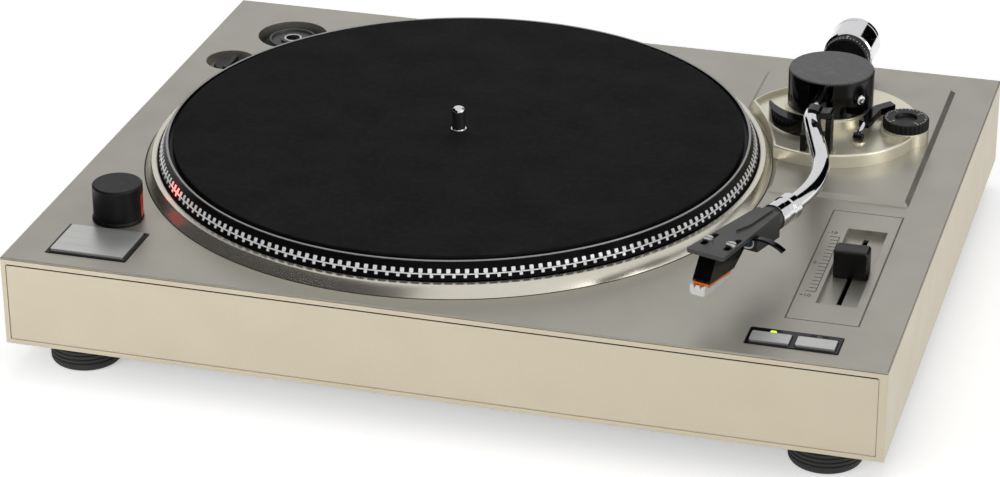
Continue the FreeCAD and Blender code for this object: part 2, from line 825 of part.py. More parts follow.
def plinth_frame():
    """Four walls with a stepped neck under the deck's lip and a post inside each corner."""
    body = new_body("plinth_frame", Frame())
    walls = rectangle(sketch(body, lift=S.foot_height), -half_width, -half_depth, half_width, half_depth)
    rectangle(walls, -inner_half_width, -inner_half_depth, inner_half_width, inner_half_depth)
    neck_base = lip_under - S.seam_height
    pad(body, walls, neck_base - S.foot_height)
    inset = S.seam_depth
    neck = rectangle(sketch(body, lift=neck_base), inset - half_width, inset - half_depth,
                     half_width - inset, half_depth - inset)
    rectangle(neck, -inner_half_width, -inner_half_depth, inner_half_width, inner_half_depth)
    pad(body, neck, S.seam_height)
    posts = sketch(body, lift=cover_top)
    size = S.post_size
    for side in (-1, 1):
        for end in (-1, 1):
            x = side * (inner_half_width - size / 2)
            y = end * (inner_half_depth - size / 2)
            reach = size / 2 + S.sheet_wall
            rectangle(posts, x - reach, y - reach, x + reach, y + reach)
    pad(body, posts, deck_under - cover_top)

    # The front wall is sunk for its panel, which has round upper corners.
    sunk = sketch(body, "XZ_Plane", half_depth)
    panel_outline(sunk, 0, panel_top())
    pocket(body, sunk, S.panel_sink)
    opening_half = S.jack_panel_width / 2 - S.sheet_wall
    jack_top = S.jack_low + S.jack_panel_height
    back = rectangle(sketch(body, "XZ_Plane", -half_depth), S.jack_x - opening_half,
                     S.jack_low + S.sheet_wall, S.jack_x + opening_half, jack_top - S.sheet_wall)
    pocket(body, back, S.wall_thickness, up=True)
    inlet_half = S.inlet_width / 2 + S.trim_gap
    inlet = rectangle(sketch(body, "XZ_Plane", -half_depth), S.inlet_x - inlet_half,
                      S.inlet_low - S.trim_gap, S.inlet_x + inlet_half,
                      S.inlet_low + S.inlet_height + S.trim_gap)
    pocket(body, inlet, S.wall_thickness, up=True)
    return body


def panel_top():
    return deck - S.panel_drop


def panel_outline(drawing, gap, top):
    """The front panel's outline, smaller by a gap at the sides, with round upper corners."""
    left = S.panel_rim_left - half_width + gap
    right = half_width - S.panel_rim_right - gap
    low = S.foot_height + S.panel_rim_low
    corner = S.panel_corner
    points = [(left, low), (right, low), (right, top - corner), (right - corner, top),
              (left + corner, top), (left, top - corner)]
    arcs = {2: ((right - corner, top - corner), corner, True),
            4: ((left + corner, top - corner), corner, True)}
    return profile(drawing, points, arcs)


def front_panel():
    body = new_body("front_panel", Frame())
    face = sketch(body, "XZ_Plane", half_depth - S.panel_sink)
    panel_outline(face, S.trim_gap, panel_top() - S.panel_groove)
    pad(body, face, S.panel_thickness)
    return body


def screw_places():
    """Where the cover's screws stand, one in each corner post."""
    x = inner_half_width - S.post_size / 2
    y = inner_half_depth - S.post_size / 2
    return [(side * x, end * y) for side in (-1, 1) for end in (-1, 1)]


def bottom_cover():
    body = new_body("bottom_cover", Frame())
    gap = S.trim_gap
    plate = rectangle(sketch(body, lift=S.foot_height), gap - inner_half_width, gap - inner_half_depth,
                      inner_half_width - gap, inner_half_depth - gap)
    for x, y in screw_places():
        circle(plate, x, y, S.screw_radius)
    for side in (-1, 1):
        for end in (-1, 1):
            circle(plate, side * S.foot_x, end * S.foot_y, S.foot_stud_radius)
    pad(body, plate, S.cover_thickness)
    return body


def case_screws():
    """Screws from below: four through the cover and three through the bearing's flange."""
    solids = [screw_solid(x, y, S.foot_height, S.cover_thickness) for x, y in screw_places()]
    low = well_under - S.flange_height
    for x, y in deck_screw_places():
        solids.append(screw_solid(S.platter_x + x, S.platter_y + y, low, well_floor - low))
    return feature("case_screws", Part.Compound(solids))


def screw_solid(x, y, low, length):
    """A screw with its head under the level low and its shank above it."""
    head = Part.makeCylinder(S.screw_head_radius.value, S.screw_head_height.value,
                             Vector(x.value, y.value, (low - S.screw_head_height).value))
    shank = Part.makeCylinder(S.screw_radius.value, length.value, Vector(x.value, y.value, low.value))
    return head.fuse(shank).removeSplitter()


def feature(label, shape):
    """A sub-part whose shape comes straight from the sheet's sizes."""
    part = doc.addObject("Part::Feature", label)
    part.Label = label
    part.Shape = shape
    part.Placement = FreeCAD.Placement()
    return part


def foot(label, side, end):
    """A ribbed rubber foot with its stud through the bottom cover."""
    ribs = []
    step = (S.foot_height - S.foot_round) / S.foot_ribs
    for rib in range(int(S.foot_ribs.value)):
        base = S.foot_round + step * rib
        ribs += [(S.foot_radius, base), (S.foot_radius, base + step * S.foot_rib_share),
                 (S.foot_radius - S.foot_rib_depth, base + step * S.foot_slope_share)]
    points = [(0, 0), (S.foot_radius - S.foot_round, 0)] + ribs + [
        (S.foot_radius - S.foot_rib_depth, S.foot_height), (S.foot_stud_radius, S.foot_height),
        (S.foot_stud_radius, cover_top), (0, cover_top)]
    rounding = {1: ((S.foot_radius - S.foot_round, S.foot_round), S.foot_round, True)}
    frame = Frame(side * S.foot_x, end * S.foot_y, 0)
    return turned_body(label, frame, points, rounding)


def axis_through(drawing, x):
    """An upright construction line at x, for a turn about an axis off the origin."""
    x = as_size(x)
    line = Part.LineSegment(Vector(x.value, 0, 0), Vector(x.value, S.axis_mark.value, 0))
    index = drawing.addGeometry(line, True)
    drawing.addConstraint(Sketcher.Constraint("Vertical", index))
    fix(drawing, Sketcher.Constraint("DistanceX", index, 1, x.value), x)
    fix(drawing, Sketcher.Constraint("DistanceY", index, 1, 0.0), 0)
    length = Sketcher.Constraint("DistanceY", index, 1, index, 2, S.axis_mark.value)
    fix(drawing, length, S.axis_mark)
    axes = sum(1 for each in range(index + 1) if drawing.getConstruction(each)) - 1
    return f"Axis{axes}"


def platter():
    """The cast platter: rim with its lip, shoulders for the dots, skirt, web, belt rim and hub."""
    rim = [
        (S.rim_skirt_radius, deck - S.skirt_drop), (S.rim_skirt_radius, deck + S.skirt_top),
        (S.lower_dot_radius, deck + S.lower_dot_low), (S.upper_dot_radius, deck + S.lower_dot_high),
        (S.bright_line_radius, deck + S.upper_dot_low), (S.shoulder_radius, deck + S.shoulder_height),
        (S.lip_radius, deck + S.lip_height), (S.lip_radius - S.lip_width, deck + S.lip_height),
        (S.lip_radius - S.lip_width, deck + S.web_top)]
    hub = [(S.spindle_hub_radius, deck + S.web_top), (S.spindle_hub_radius, deck - S.hub_drop),
           (S.hub_radius, deck - S.hub_drop), (S.hub_radius, web_under())]
    belt_rim = [(S.belt_rim_radius - S.belt_rim_wall, web_under()),
                (S.belt_rim_radius - S.belt_rim_wall, deck - S.belt_rim_drop),
                (S.belt_rim_radius, deck - S.belt_rim_drop), (S.belt_rim_radius, web_under())]
    skirt = [(S.rim_skirt_radius - S.skirt_wall, web_under()),
             (S.rim_skirt_radius - S.skirt_wall, deck - S.skirt_drop)]
    body = turned_body("platter", platter_frame, rim + hub + belt_rim + skirt)
    window = sketch(body, lift=deck + S.web_top)
    circle(window, S.window_reach, 0, S.window_radius)
    cut = pocket(body, window, S.web_thickness)
    around(body, cut, window, S.window_count)
    return body


def web_under():
    return deck + S.web_top - S.web_thickness


def platter_mat():
    low = deck + S.web_top
    top = low + S.mat_thickness
    corner = S.mat_edge
    bore = S.spindle_hub_radius + S.mat_bore_gap
    points = [(bore, low), (S.mat_radius, low), (S.mat_radius, top - corner), (S.mat_radius - corner, top),
              (bore, top)]
    arcs = {2: ((S.mat_radius - corner, top - corner), corner, True)}
    return turned_body("platter_mat", platter_frame, points, arcs)


def spindle():
    """The steel spindle stands on the thrust pad and carries the platter's hub on a flange."""
    top = deck + S.web_top + S.mat_thickness + S.spindle_rise
    radius = S.spindle_radius
    hub = S.spindle_hub_radius
    hub_top = deck + S.web_top + S.mat_thickness + S.spindle_shoulder
    flange = deck - S.hub_drop
    tip = S.spindle_round
    points = [(0, spindle_foot()), (radius, spindle_foot()), (radius, flange - S.flange_height),
              (S.flange_radius, flange - S.flange_height), (S.flange_radius, flange), (hub, flange),
              (hub, hub_top), (radius, hub_top), (radius, top - tip), (radius - tip, top), (0, top)]
    return turned_body("spindle", platter_frame, points, {8: ((radius - tip, top - tip), tip, True)})


def spindle_foot():
    return well_under - S.bearing_depth + S.thrust_pad


def bearing_housing():
    """A cup with a flange against the well's underside."""
    low = well_under - S.bearing_depth
    outer = S.bearing_radius
    neck = S.bearing_hole_radius - S.trim_gap
    flange_low = well_under - S.flange_height
    points = [(0, low - S.sheet_wall), (outer, low - S.sheet_wall), (outer, flange_low),
              (S.bearing_flange_radius, flange_low), (S.bearing_flange_radius, well_under),
              (neck, well_under), (neck, well_floor),
              (S.sleeve_radius, well_floor), (S.sleeve_radius, low), (0, low)]
    body = turned_body("bearing_housing", platter_frame, points)
    holes = sketch(body, lift=well_under)
    for x, y in deck_screw_places():
        circle(holes, x, y, S.screw_radius)
    pocket(body, holes, S.flange_height)
    return body


def bearing_sleeve():
    """The bronze sleeve fills the housing above the thrust pad, which it carries too."""
    low = well_under - S.bearing_depth
    pad_top = low + S.thrust_pad - S.running_clearance
    points = [(0, low), (S.sleeve_radius, low), (S.sleeve_radius, well_floor),
              (bore_radius, well_floor), (bore_radius, pad_top), (0, pad_top)]
    return turned_body("bearing_sleeve", platter_frame, points)


def belt_outline(drawing, grow):
    """A loop round the belt rim and the pulley, with straight runs that touch both."""
    big = S.belt_rim_radius + S.belt_gap + grow
    small = S.pulley_radius + S.belt_gap + grow
    lean = (big - small) / S.motor_reach
    rise = root(1 - lean * lean)
    reach = S.motor_reach
    points = [(big * lean, -big * rise), (reach + small * lean, -small * rise),
              (reach + small * lean, small * rise), (big * lean, big * rise)]
    arcs = {1: ((reach, 0), small, True), 3: ((0, 0), big, True)}
    return profile(drawing, points, arcs)


def drive_belt():
    frame = Frame(S.platter_x, S.platter_y, 0, turned("z", S.motor_azimuth))
    body = new_body("drive_belt", frame)
    loop = belt_outline(sketch(body, lift=deck - S.belt_drop), S.belt_thickness)
    belt_outline(loop, 0)
    pad(body, loop, S.belt_width)
    return body


def motor():
    """The motor hangs under the well on its round can, with a bore for the pulley's shaft."""
    boss = S.motor_hole_radius - S.trim_gap
    bore = S.motor_shaft_radius + S.running_clearance
    points = [(bore, well_under - S.motor_shaft_depth), (bore, well_floor), (boss, well_floor),
              (boss, well_under), (S.motor_radius, well_under), (S.motor_radius, well_under - S.motor_height),
              (0, well_under - S.motor_height), (0, well_under - S.motor_shaft_depth)]
    return turned_body("motor", motor_frame, points)


def motor_pulley():
    """A crowned pulley on its own shaft."""
    low = deck - S.belt_drop - S.pulley_lip
    top = deck - S.belt_drop + S.belt_width + S.pulley_lip
    lip = S.pulley_radius + S.pulley_lip / 2
    shaft = S.motor_shaft_radius
    points = [(0, well_under - S.motor_shaft_depth + S.trim_gap),
              (shaft, well_under - S.motor_shaft_depth + S.trim_gap), (shaft, low), (lip, low),
              (S.pulley_radius, low + S.pulley_lip), (S.pulley_radius, top - S.pulley_lip),
              (lip, top), (0, top)]
    return turned_body("motor_pulley", motor_frame, points)


def strobe_tower():
    """A round tower with a lighter cap step, a window niche towards the platter and a stem."""
    radius = S.tower_radius
    top = deck + S.tower_height
    edge = S.tower_edge
    points = [(0, deck_under - S.tower_stem_drop), (S.tower_stem_radius, deck_under - S.tower_stem_drop),
              (S.tower_stem_radius, deck), (radius, deck), (radius, top - edge), (radius - edge, top),
              (0, top)]
    arcs = {4: ((radius - edge, top - edge), edge, True)}
    frame = Frame(S.tower_x, S.tower_y, 0, turned("z", S.window_azimuth))
    body = turned_body("strobe_tower", frame, points, arcs)
    niche = rectangle(sketch(body, lift=deck + S.window_low), radius - S.window_sink, -S.window_width / 2,
                      radius + S.window_sink, S.window_width / 2)
    pocket(body, niche, S.window_height, up=True)
    return body


def strobe_window():
    """A red lens that fills the niche and keeps the tower's round face."""
    frame = Frame(S.tower_x, S.tower_y, 0, turned("z", S.window_azimuth))
    body = new_body("strobe_window", frame)
    low = deck + S.window_low
    face = S.tower_radius - S.window_face_sink
    half = S.window_width / 2
    side = root(face * face - half * half)
    points = [(S.tower_radius - S.window_sink, -half), (side, -half), (side, half),
              (S.tower_radius - S.window_sink, half)]
    lens = profile(sketch(body, lift=low), points, {1: ((0, 0), face, True)})
    pad(body, lens, S.window_height)
    return body


def power_knob():
    """A small knob in its dish, with a pointer ridge, on a shaft through the deck."""
    low = deck - S.power_dish_depth
    shaft_low = power_under() - S.knob_shaft_drop
    points = [(0, shaft_low), (S.knob_shaft_radius, shaft_low), (S.knob_shaft_radius, low + S.trim_gap),
              (S.knob_radius, low + S.trim_gap), (S.knob_radius, low + S.knob_height - S.knob_edge),
              (S.knob_radius - S.knob_edge, low + S.knob_height), (0, low + S.knob_height)]
    body = turned_body("power_knob", power_frame, points)
    ridge_half = S.knob_ridge_width / 2
    reach = S.knob_radius - S.knob_edge
    ridge = rectangle(sketch(body, lift=low + S.knob_height), -ridge_half, -reach, ridge_half, reach)
    pad(body, ridge, S.knob_ridge_height)
    return body


def power_under():
    return deck - S.power_dish_depth - S.sheet_wall


def power_switch():
    """The mains switch block under the dish, with a blind bore for the knob's shaft."""
    body = new_body("power_switch", power_frame)
    half = S.switch_size / 2
    block = rectangle(sketch(body, lift=power_under()), -half, -half, half, half)
    pad(body, block, S.switch_height, down=True)
    bore = circle(sketch(body, lift=power_under()), 0, 0, S.knob_shaft_radius + S.running_clearance)
    pocket(body, bore, S.knob_shaft_drop + S.trim_gap)
    return body


def start_bezel():
    """A thin frame let into the deck round the start button."""
    body = new_body("start_bezel", Frame())
    rim = S.bezel_rim
    frame = rounded(sketch(body, lift=deck - S.bezel_seat), start_left, start_front, start_right, start_back,
                    S.bezel_corner)
    rectangle(frame, start_left + rim, start_front + rim, start_right - rim, start_back - rim)
    pad(body, frame, S.bezel_seat + S.bezel_rise)
    return body


def button(label, left, front, right, back):
    """A pressed button: its cap in the frame, a wider lip under the deck and a stem."""
    body = new_body(label, Frame())
    lip_top = deck_under - S.trim_gap
    lip = rectangle(sketch(body, lift=lip_top), left - S.button_lip, front - S.button_lip,
                    right + S.button_lip, back + S.button_lip)
    pad(body, lip, S.button_lip, down=True)
    cap = rounded(sketch(body, lift=lip_top), left, front, right, back, S.button_corner)
    pad(body, cap, deck + S.button_rise - lip_top)
    middle_x = (left + right) / 2
    middle_y = (front + back) / 2
    stem = circle(sketch(body, lift=lip_top - S.button_lip), middle_x, middle_y, S.button_stem_radius)
    pad(body, stem, lip_top - S.button_lip - board_top() - S.button_travel - S.trim_gap, down=True)
    return body


def start_button():
    gap = S.bezel_rim + S.button_gap
    return button("start_button", start_left + gap, start_front + gap, start_right - gap, start_back - gap)


def speed_split():
    """The bar between the two speed buttons."""
    middle = (S.speed_left + S.speed_right) / 2
    return (middle - S.speed_bar / 2, middle + S.speed_bar / 2)


def speed_bezel():
    """The frame of the speed buttons, with a strip behind them for the two lamps."""
    body = new_body("speed_bezel", Frame())
    rim = S.bezel_rim
    frame = rounded(sketch(body, lift=deck - S.bezel_seat), S.speed_left, speed_front, S.speed_right,
                    speed_back, S.bezel_corner)
    inner, outer = speed_split()
    lamp_front = speed_back - S.lamp_strip
    for left, right in ((S.speed_left + rim, inner), (outer, S.speed_right - rim)):
        rectangle(frame, left, speed_front + rim, right, lamp_front)
        middle = (left + right) / 2
        rectangle(frame, middle - S.lamp_length / 2, speed_back - rim - S.lamp_width,
                  middle + S.lamp_length / 2, speed_back - rim)
    pad(body, frame, S.bezel_seat + S.bezel_rise)
    return body


def speed_button_33():
    inner, outer = speed_split()
    gap = S.button_gap
    return button("speed_button_33", S.speed_left + S.bezel_rim + gap, speed_front + S.bezel_rim + gap,
                  inner - gap, speed_back - S.lamp_strip - gap)


def speed_button_45():
    inner, outer = speed_split()
    gap = S.button_gap
    return button("speed_button_45", outer + gap, speed_front + S.bezel_rim + gap,
                  S.speed_right - S.bezel_rim - gap, speed_back - S.lamp_strip - gap)


def speed_lamps():
    """Two light guides that rise from the board into the frame's slots."""
    body = new_body("speed_lamps", Frame())
    inner, outer = speed_split()
    rim = S.bezel_rim
    guides = sketch(body, lift=deck + S.bezel_rise - S.lamp_sink)
    for left, right in ((S.speed_left + rim, inner), (outer, S.speed_right - rim)):
        middle = (left + right) / 2
        rectangle(guides, middle - S.lamp_length / 2, speed_back - rim - S.lamp_width,
                  middle + S.lamp_length / 2, speed_back - rim)
    pad(body, guides, deck + S.bezel_rise - S.lamp_sink - board_top(), down=True)
    return body


def board_top():
    return deck_under - S.board_drop


def hung_board(left, front, right, back):
    """A circuit board on two posts that hang from the deck, under its buttons."""
    body = new_body("board", Frame())
    board = rectangle(sketch(body, lift=board_top()), left, front, right, back)
    pad(body, board, S.board_thickness, down=True)
    posts = sketch(body, lift=board_top())
    for x in (left + S.board_post_inset, right - S.board_post_inset):
        circle(posts, x, back - S.board_post_inset, S.board_post_radius)
    pad(body, posts, S.board_drop)
    return body


def button_boards():
    """One board under the start button and one under the speed buttons."""
    grow = S.board_margin
    group = doc.addObject("Part::Compound", "Group")
    group.Links = [
        hung_board(start_left - grow, start_front + grow, start_right + grow, start_back + grow * 2),
        hung_board(S.speed_left - grow, speed_front + S.bezel_rim, S.speed_right, speed_back + grow * 2)]
    return named("button_boards", group)


def pitch_fader():
    """The slide control under the panel: a case with a slot for the cap's stem."""
    body = new_body("pitch_fader", Frame())
    half = S.fader_case_width / 2
    end = S.fader_case_end
    case = rectangle(sketch(body, lift=fader_floor_under), S.fader_x - half, S.fader_slot_front - end,
                     S.fader_x + half, S.fader_slot_back + end)
    pad(body, case, S.fader_case_height, down=True)
    track = S.fader_slot_width / 2
    slot = rectangle(sketch(body, lift=fader_floor_under), S.fader_x - track, S.fader_slot_front,
                     S.fader_x + track, S.fader_slot_back)
    pocket(body, slot, S.fader_stem_depth + S.trim_gap)
    return body


def pitch_cap():
    """A black cap with stepped finger grips and a flat stem down into the fader."""
    body = new_body("pitch_cap", Frame(S.fader_x, S.cap_y, 0))
    half = S.cap_width / 2
    depth = S.cap_depth / 2
    low = fader_floor + S.cap_lift
    pad(body, rounded(sketch(body, lift=low), -half, -depth, half, depth, S.cap_corner), S.cap_height)
    cut = sketch(body, "YZ_Plane")
    top = low + S.cap_height
    grip = S.cap_grip
    ridge_half = S.cap_ridge / 2
    beyond = depth + S.cap_overrun
    above = top + S.cap_overrun
    profile(cut, [(-beyond, top - grip), (-ridge_half - grip, top - grip), (-ridge_half, above),
                  (-beyond, above)])
    profile(cut, [(beyond, above), (ridge_half, above), (ridge_half + grip, top - grip),
                  (beyond, top - grip)])
    pocket(body, cut)
    stem = S.fader_slot_width / 2 - S.stem_clearance
    blade = rectangle(sketch(body, lift=low), -stem, -S.cap_stem_length / 2, stem, S.cap_stem_length / 2)
    pad(body, blade, low - fader_floor_under + S.fader_stem_depth, down=True)
    return body


def record_adaptor():
    """A loose centre for large holed singles: a stepped cone with a hub of its own."""
    low = deck - S.adaptor_dish_depth + S.adaptor_lift
    top = deck - S.adaptor_drop
    outer = S.adaptor_radius
    points = [(S.adaptor_bore, low), (outer, low), (outer, low + S.adaptor_rim_height),
              (outer - S.adaptor_step, low + S.adaptor_rim_height),
              (S.adaptor_ring_radius, top), (S.adaptor_ring_radius - S.adaptor_step, top),
              (S.adaptor_ring_radius - S.adaptor_step * 1.5, top - S.adaptor_step),
              (S.adaptor_hub_radius, top - S.adaptor_step), (S.adaptor_hub_radius, top),
              (S.adaptor_bore, top)]
    return turned_body("record_adaptor", adaptor_frame, points)


def jack_panel():
    body = new_body("jack_panel", Frame())
    half = S.jack_panel_width / 2
    low = S.jack_low
    face = rectangle(sketch(body, "XZ_Plane", -inner_half_depth), S.jack_x - half, low, S.jack_x + half,
                     low + S.jack_panel_height)
    for place in range(int(S.jack_count.value)):
        circle(face, jack_place(place), low + S.jack_panel_height / 2, S.jack_radius + S.running_clearance)
    circle(face, ground_x(), low + S.jack_panel_height / 2, S.screw_radius + S.running_clearance)
    pad(body, face, S.sheet_wall)
    return body


def jack_place(place):
    return S.jack_x + S.jack_pitch * place


def rear_terminals():
    """Two phono sockets and the earth terminal, each a barrel or post with a flange inside."""
    solids = [ground_post()]
    height = S.jack_low + S.jack_panel_height / 2
    inside = inner_half_depth - S.sheet_wall
    length = S.wall_thickness + S.sheet_wall - S.jack_sink
    outward = Vector(0, 1, 0)
    for place in range(int(S.jack_count.value)):
        centre = Vector(jack_place(place).value, inside.value, height.value)
        barrel = Part.makeCylinder(S.jack_radius.value, length.value, centre, outward)
        flange = Part.makeCylinder(S.jack_flange_radius.value, S.jack_flange_depth.value, centre, -outward)
        mouth = centre + outward * (length - S.jack_bore_depth).value
        bore = Part.makeCylinder(S.jack_bore.value, S.jack_bore_depth.value, mouth, outward)
        solids.append(barrel.fuse(flange).cut(bore))
    return feature("rear_terminals", Part.Compound(solids))


def ground_post():
    """The earth terminal: a flange, a stud through the panel and a round nut."""
    centre = Vector(ground_x().value, (inner_half_depth - S.sheet_wall).value,
                    (S.jack_low + S.jack_panel_height / 2).value)
    back = Vector(0, 1, 0)
    flange = Part.makeCylinder(S.ground_radius.value, S.jack_flange_depth.value, centre, -back)
    length = S.wall_thickness + S.sheet_wall - S.jack_sink
    stud = Part.makeCylinder(S.screw_radius.value, length.value, centre, back)
    seat = centre + back * S.sheet_wall.value
    nut = Part.makeCylinder(S.ground_radius.value, (S.wall_thickness - S.jack_sink).value, seat, back)
    return flange.fuse([stud, nut]).removeSplitter()


def ground_x():
    return S.jack_x - S.ground_reach


def power_inlet():
    """A two pole mains inlet: an open shroud with its pins, through the back wall."""
    body = new_body("power_inlet", Frame())
    half = S.inlet_width / 2
    low = S.inlet_low
    top = low + S.inlet_height
    wall = S.inlet_wall
    face = rectangle(sketch(body, "XZ_Plane", -half_depth), S.inlet_x - half, low, S.inlet_x + half, top)
    pad(body, face, S.inlet_depth)
    mouth = rectangle(sketch(body, "XZ_Plane", -half_depth), S.inlet_x - half + wall, low + wall,
                      S.inlet_x + half - wall, top - wall)
    pocket(body, mouth, S.inlet_depth - wall * 2, up=True)
    pins = sketch(body, "XZ_Plane", S.inlet_pin_sink - half_depth)
    for side in (-1, 1):
        circle(pins, S.inlet_x + side * S.inlet_pin_reach, (low + top) / 2, S.inlet_pin_radius)
    pad(body, pins, S.inlet_depth - wall * 2)
    flange = rectangle(sketch(body, "XZ_Plane", -inner_half_depth), S.inlet_x - half - wall, low - wall,
                       S.inlet_x + half + wall, top + wall)
    rectangle(flange, S.inlet_x - half, low, S.inlet_x + half, top)
    pad(body, flange, wall)
    return body


def main_board():
    """The main circuit board on four stand-offs, with its tall parts."""
    body = new_body("main_board", Frame(S.board_x, S.board_y, cover_top))
    width = S.main_board_width
    depth = S.main_board_depth
    inset = S.board_post_inset
    pad(body, rectangle(sketch(body, lift=S.standoff), 0, 0, width, depth), S.board_thickness)
    posts = sketch(body)
    for x in (inset, width - inset):
        for y in (inset, depth - inset):
            circle(posts, x, y, S.board_post_radius)
    pad(body, posts, S.standoff)
    tall = sketch(body, lift=S.standoff + S.board_thickness)
    count = int(S.capacitors.value)
    for place in range(count):
        circle(tall, width * (place + 1) / (count + 1), depth / 2, S.capacitor_radius)
    pad(body, tall, S.capacitor_height)
    return body


def transformer():
    """The mains transformer: a laminated core between its two winding ends, on the cover."""
    body = new_body("transformer", Frame(S.transformer_x, S.transformer_y, cover_top))
    width = S.transformer_width
    depth = S.transformer_depth
    pad(body, rectangle(sketch(body), 0, 0, width, depth), S.transformer_height)
    winding = S.transformer_winding
    coil = rectangle(sketch(body, lift=S.sheet_wall), winding, -winding, width - winding, depth + winding)
    pad(body, coil, S.transformer_height - S.sheet_wall * 2)
    return body


# The arm's own frame lies in its pivot: minus Y runs forward along the arm, Z square to it.
pivot_height = deck + S.pivot_rise
arm_frame = Frame(S.arm_x, S.arm_y, pivot_height, turned("x", -S.arm_slope))
turret_frame = Frame(S.arm_x, S.arm_y, 0)
plateau_top = deck + S.plateau_height
tray_top = plateau_top + S.tray_height
tray_floor = tray_top - S.tray_recess
seat_top = tray_floor + S.seat_height
turret_low = seat_top + S.turret_gap
turret_top = turret_low + S.turret_height
turret_floor = turret_low + S.turret_floor
first_run = S.first_bend_radius * tangent(S.first_bend / 2)
second_bend = S.first_bend + S.head_angle
second_run = S.second_bend_radius * tangent(second_bend / 2)
second_x = S.tube_x + S.bend_reach * sine(S.first_bend)
second_y = -(S.first_corner + S.bend_reach * cosine(S.first_bend))
head_x = second_x - S.head_reach * sine(S.head_angle)
head_y = second_y - S.head_reach * cosine(S.head_angle)
head_frame = Frame(head_x, head_y, 0, turned("z", -S.head_angle), arm_frame)


def cylinder(x, y, low, radius, height):
    part = doc.addObject("Part::Cylinder", "Cylinder")
    part.setExpression("Placement", Frame(x, y, low).text)
    part.setExpression("Radius", as_size(radius).text)
    part.setExpression("Height", as_size(height).text)
    return part


def box(x, y, low, width, depth, height, frame=None):
    part = doc.addObject("Part::Box", "Box")
    part.setExpression("Placement", Frame(x, y, low, inside=frame).text)
    for name, size in (("Length", width), ("Width", depth), ("Height", height)):
        part.setExpression(name, as_size(size).text)
    return part


def cut(base, *tools):
    for tool in tools:
        result = doc.addObject("Part::Cut", "Cut")
        result.Base = base
        result.Tool = tool
        base = result
    return base


def fuse(*parts):
    result = doc.addObject("Part::MultiFuse", "Fuse")
    result.Shapes = list(parts)
    result.Refine = True
    return result


def named(label, part):
    part.Label = label
    return part


def arm_base():
    """The round tray that carries the arm, hollowed beside the platter, with the dial's lobe."""
    low = plateau_top
    edge = S.tray_edge
    radius = S.tray_radius
    outline = [(0, low), (radius, low), (radius, tray_top - edge), (radius - edge, tray_top), (0, tray_top)]
    rounding = {2: ((radius - edge, tray_top - edge), edge, True)}
    disc = turned_body("tray_disc", Frame(S.tray_x, S.tray_y, 0), outline, rounding)
    lobe = cylinder(S.dial_x, S.dial_y, low, S.dial_radius, tray_top + S.lobe_rise - low)
    hollow = cylinder(S.platter_x, S.platter_y, low, S.plateau_inner_radius, S.tray_height * 2)
    recess = cylinder(S.tray_x, S.tray_y, tray_floor, radius - S.tray_rim, S.tray_height)
    wall = cylinder(S.platter_x, S.platter_y, low, S.plateau_inner_radius + S.tray_rim, S.tray_height * 2)
    lobe_wall = cylinder(S.dial_x, S.dial_y, low, S.dial_radius + S.tray_rim, S.tray_height * 2)
    pad_width = rest_right - rest_left + S.tray_rim * 2
    rest_pad = box(rest_left - S.tray_rim, rest_front - S.tray_rim * 4, low, pad_width,
                   S.rest_depth + S.tray_rim * 5, S.tray_height * 2)
    back_step = box(S.tray_x, S.arm_y, low, S.tray_radius, S.tray_radius, S.tray_height * 2)
    sunk = cut(recess, wall, lobe_wall, rest_pad, back_step)
    pillar = cylinder(S.arm_x, S.arm_y, low - S.tray_height, S.pillar_radius + S.running_clearance,
                      S.tray_height * 4)
    seat = cylinder(S.arm_x, S.arm_y, tray_floor, S.seat_radius + S.trim_gap, S.tray_height)
    lever_boss = cylinder(S.lever_x, S.lever_y, tray_floor, S.lever_boss_radius, S.lever_boss_height)
    return named("arm_base", fuse(cut(fuse(disc, lobe), hollow, sunk, pillar, seat), lever_boss))


def turret_seat():
    """The stepped ring that the turret turns above."""
    inner = S.pillar_radius + S.running_clearance
    step = S.seat_step
    points = [(inner, tray_floor), (S.seat_radius, tray_floor), (S.seat_radius, seat_top - step),
              (S.seat_radius - step, seat_top - step), (S.seat_radius - step, seat_top), (inner, seat_top)]
    return turned_body("turret_seat", turret_frame, points)


def arm_pillar():
    """The fixed pillar: a nut flange under the deck, the pillar and the turret's bearing pin."""
    nut = deck_under - S.nut_height
    pin_top = turret_floor - S.running_clearance
    points = [(0, nut), (S.nut_radius, nut), (S.nut_radius, deck_under), (S.pillar_radius, deck_under),
              (S.pillar_radius, seat_top), (S.turret_pin_radius, seat_top), (S.turret_pin_radius, pin_top),
              (0, pin_top)]
    return turned_body("arm_pillar", turret_frame, points)


def arm_turret():
    """The black turret: a cavity for the gimbal, openings fore and aft and a niche each side."""
    outer = S.turret_radius
    body = turned_body("turret_body", turret_frame, [
        (S.turret_pin_radius + S.running_clearance, turret_low), (outer, turret_low), (outer, turret_top),
        (S.turret_pin_radius + S.running_clearance, turret_top)])
    cavity = circle(sketch(body, lift=turret_floor), 0, 0, S.cavity_radius)
    pocket(body, cavity, S.turret_height, up=True)
    lane = sketch(body, lift=turret_floor)
    rectangle(lane, S.tube_x - S.lane_half, -outer * 2, S.tube_x + S.lane_half, 0)
    pocket(body, lane, S.turret_height, up=True)
    lane = sketch(body, lift=turret_floor)
    rectangle(lane, -S.lane_half, 0, S.lane_half, outer * 2)
    pocket(body, lane, S.turret_height, up=True)
    return named("arm_turret", cut(body, *niches()))


def niches():
    """Arched niches over the two pivot screws, and their threaded holes."""
    parts = []
    for side in (0, 180):
        turn = Frame(S.arm_x, S.arm_y, pivot_height, turned("z", side - S.gimbal_angle))
        parts.append(rod(turn, S.niche_depth_radius, S.turret_radius, S.niche_radius))
        drop = pivot_height - turret_floor + S.turret_floor * 2
        parts.append(box(S.niche_depth_radius, -S.niche_radius, -drop,
                         S.turret_radius, S.niche_radius * 2, drop, turn))
        parts.append(rod(turn, 0, S.turret_radius, S.pivot_shank_radius))
    return parts


